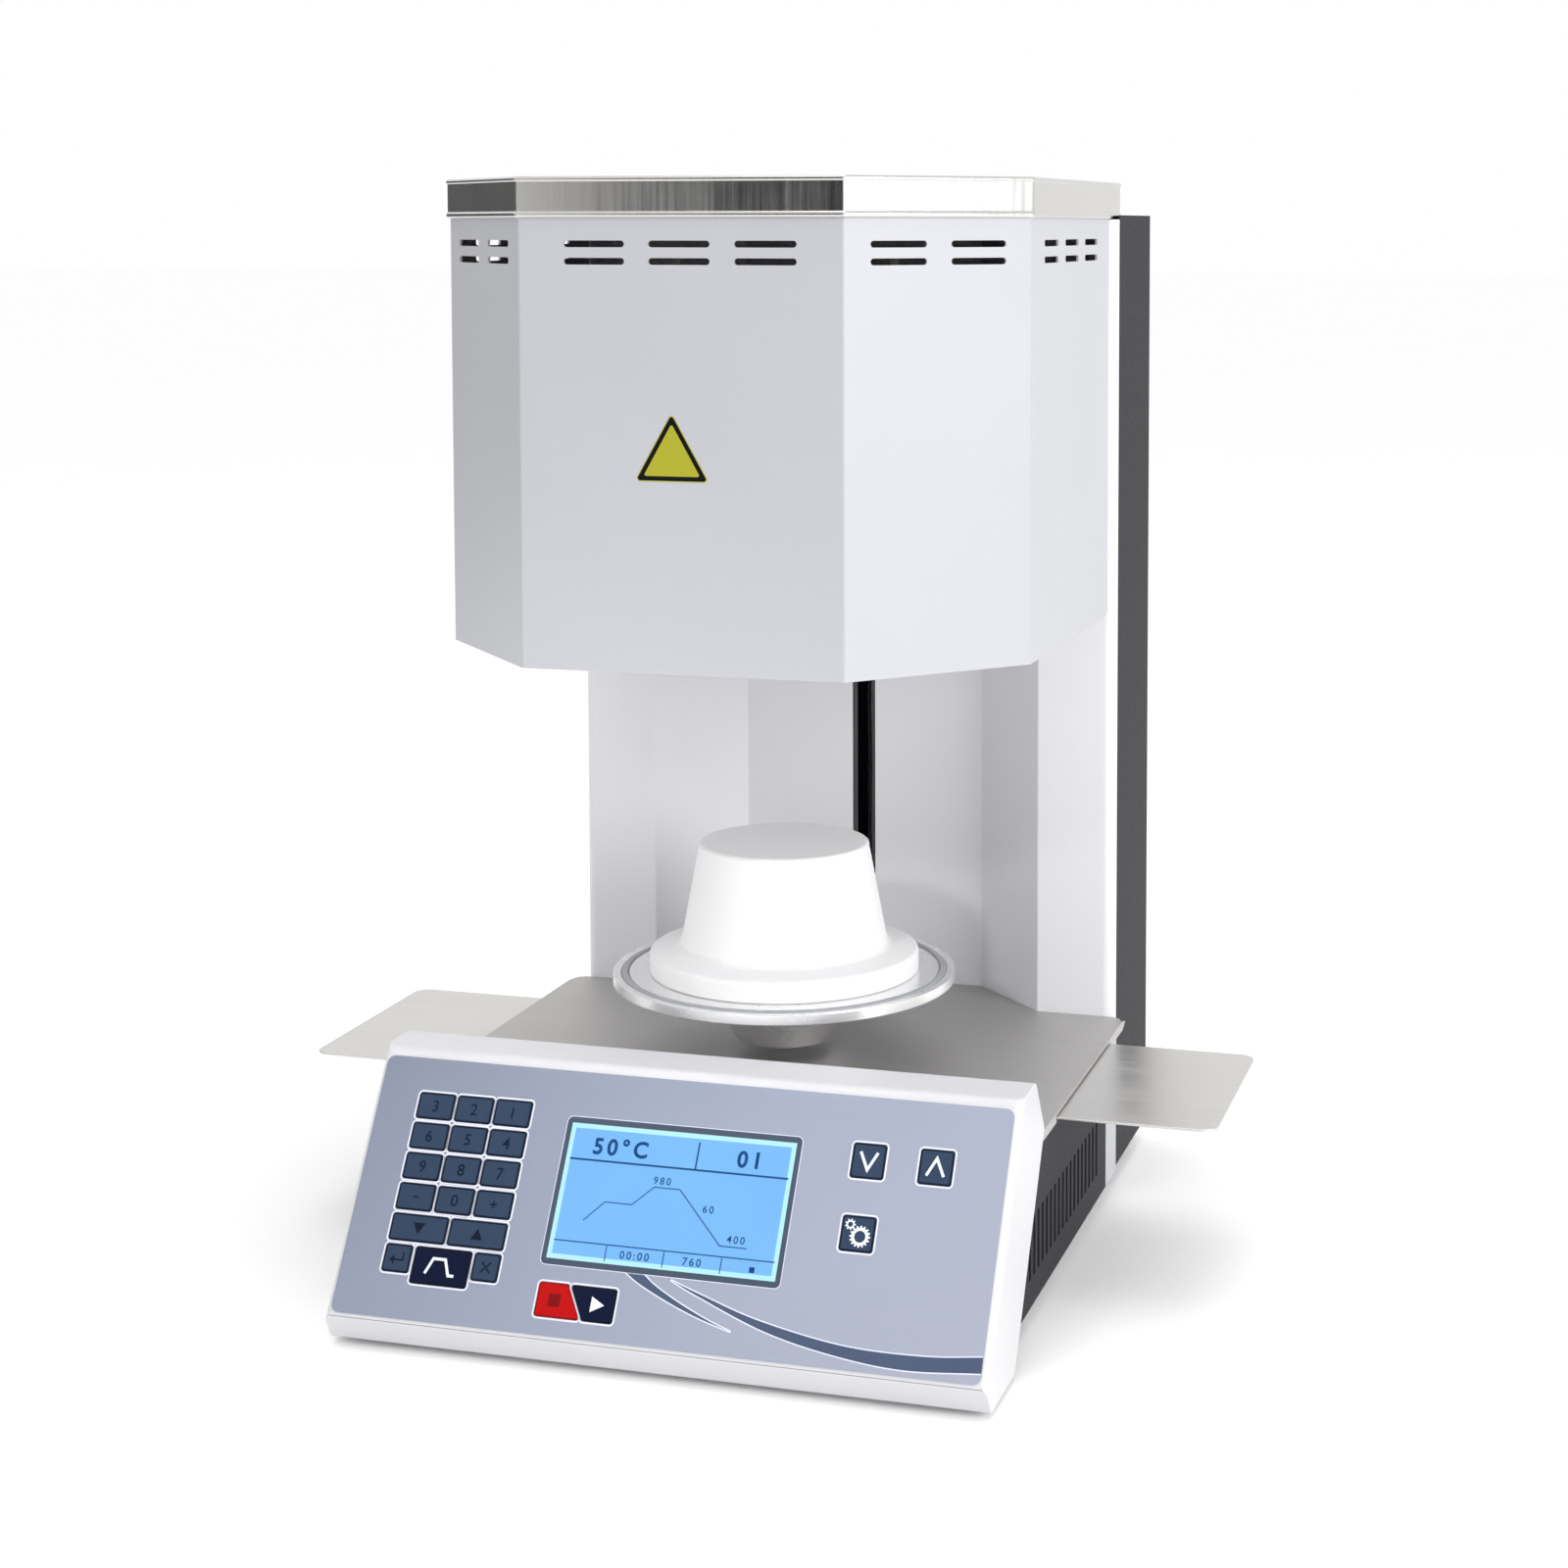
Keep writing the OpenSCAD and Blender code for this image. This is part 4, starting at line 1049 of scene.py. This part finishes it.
def feet():
    low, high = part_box("feet")
    reach = 15.0
    xs = (low.x / MM + reach, high.x / MM - reach)
    ys = (low.y / MM + reach, high.y / MM - reach)
    for i, (x, y) in enumerate((x, y) for x in xs for y in ys):
        foot = lathe(f"rubber_foot_{i + 1}", [
            (0, 1.2), (5, 1.2), (5.5, 0.1), (12.2, 0.1), *arc(12.2, 1.2, 1.1, -80, -10, 3),
            (14.9, 11.0), (14.4, 11.9), (0, 11.9),
        ], RUBBER, 64, 40, (x, y))
        keep(foot, "frame", "rubber_feet", "feet")


def rear_details():
    softened("inlet_module", PLASTIC, "black_plastic", 0.35)
    softened("power_rocker", RED_PLASTIC, "red_plastic", 0.4, 3)
    softened("vacuum_port", NICKEL, "nickel_brass", 0.35)
    softened("panel_screws", ZINC, "zinc_steel", 0.25)
    softened("power_board", BOARD, "circuit_board", 0.3)
    softened("gear_motor", ZINC, "zinc_steel", 0)


# ---------------------------------------------------------------------------------------------------
# Studio
# ---------------------------------------------------------------------------------------------------

def aimed(place_at, aim, axis):
    """Rotation that points an object's axis at aim."""
    return (Vector(aim) - Vector(place_at)).to_track_quat(axis, "Y").to_euler()


def area_light(name, place_at, aim, size, watts, spread=180):
    """A softbox; a spread under 180 degrees keeps its light to a beam."""
    data = bpy.data.lights.new(name, "AREA")
    data.shape = "RECTANGLE"
    data.size, data.size_y = size
    data.energy = watts
    data.spread = math.radians(spread)
    light = bpy.data.objects.new(name, data)
    light.location = place_at
    light.rotation_euler = aimed(place_at, aim, "-Z")
    bpy.context.scene.collection.objects.link(light)


def add_sheet(bm, w, h):
    """Adds one face of half sizes w and h round the origin."""
    bm.faces.new([bm.verts.new((x, y, 0)) for x, y in ((-w, -h), (w, -h), (w, h), (-w, h))])


def flag(name, middle, aim, size, right, left):
    """A sheet of painted reflection that only reflections see, graded from its right side to its left;
    it casts no light or shadow.
    """
    look = Look(name, (right,) * 3, 1.0, ior=1.0)
    w, h = size[0] / 2, size[1] / 2
    steepness = 12
    across = look.math("POWER", look.span(look.height("X"), -w, w), steepness)
    look.link(look.mix(across, (right,) * 3, (left,) * 3), look.shader.inputs["Base Color"])
    bm = bmesh.new()
    add_sheet(bm, w, h)
    card = finish_mesh(name, bm, [look.material])
    card.location = middle
    card.rotation_euler = aimed(middle, aim, "Z")
    card.visible_camera = False
    card.visible_diffuse = False
    card.visible_shadow = False


CAMERA_AT = (0.45866, -1.36524, 0.5352)
CAMERA_DOWN, CAMERA_LEFT = 3.94, 15.44   # how far it is turned from level and from +Y, degrees
CAMERA_SHIFT = (-0.095, -0.235)
CAMERA_LENS, CAMERA_SENSOR = 63.32, 36   # mm


def studio():
    scene = bpy.context.scene
    bm = bmesh.new()
    half = 30.0
    add_sheet(bm, half, half)
    floor_look = Look("floor", (0.985, 0.985, 0.985), 0.8)
    floor_look.tone(floor_look.noise(floor_look.place(), 3, 2), 0.005)
    floor = finish_mesh("floor", bm, [floor_look.material])

    world = bpy.data.worlds.new("studio")
    world.use_nodes = True
    background = world.node_tree.nodes["Background"]
    background.inputs["Color"].default_value = (1.0, 1.0, 1.0, 1)
    background.inputs["Strength"].default_value = 1.0
    scene.world = world
    area_light("key", (2.0, -1.1, 0.8), (0, 0, 0.3), (1.0, 1.0), 26)
    area_light("top", (0.1, -0.2, 2.4), (0, 0, 0.2), (1.4, 1.4), 16)
    area_light("table_beam", (-0.35, -1.9, 1.15), (0, -0.05, 0.13), (0.25, 0.25), 0.06, 9)
    # Painted reflections: dark and graded cards that only reflections see, darkening the reflections in
    # the cap's rim, the head and the table.
    flag("painted_reflection_left", (-1.9, 0.95, 0.5), (0, 0, 0.4), (1.6, 0.8), 0.1, 0.1)
    flag("painted_reflection_front", (-0.405, -1.9, 0.6), (-0.2, 0, 0.5), (0.91, 1.0), 0.01, 0.97)
    flag("painted_reflection_table", (-1.6, -0.75, 0.3), (0, 0, 0.3), (1.6, 0.8), 0.06, 0.06)

    data = bpy.data.cameras.new("camera")
    data.sensor_width = CAMERA_SENSOR
    data.lens = CAMERA_LENS
    data.shift_x, data.shift_y = CAMERA_SHIFT
    data.clip_start, data.clip_end = 0.05, 50
    camera = bpy.data.objects.new("camera", data)
    camera.location = CAMERA_AT
    camera.rotation_euler = (math.radians(90 - CAMERA_DOWN), 0, math.radians(CAMERA_LEFT))
    scene.collection.objects.link(camera)
    scene.camera = camera
    scene.view_settings.view_transform = "Standard"


studio()
casings()
top_cap()
table()
pedestal()
muffle()
chamber()
film()
key_caps()
key_outlines()
key_marks()
accent_bands()
display()
warning_label()
feet()
rear_details()
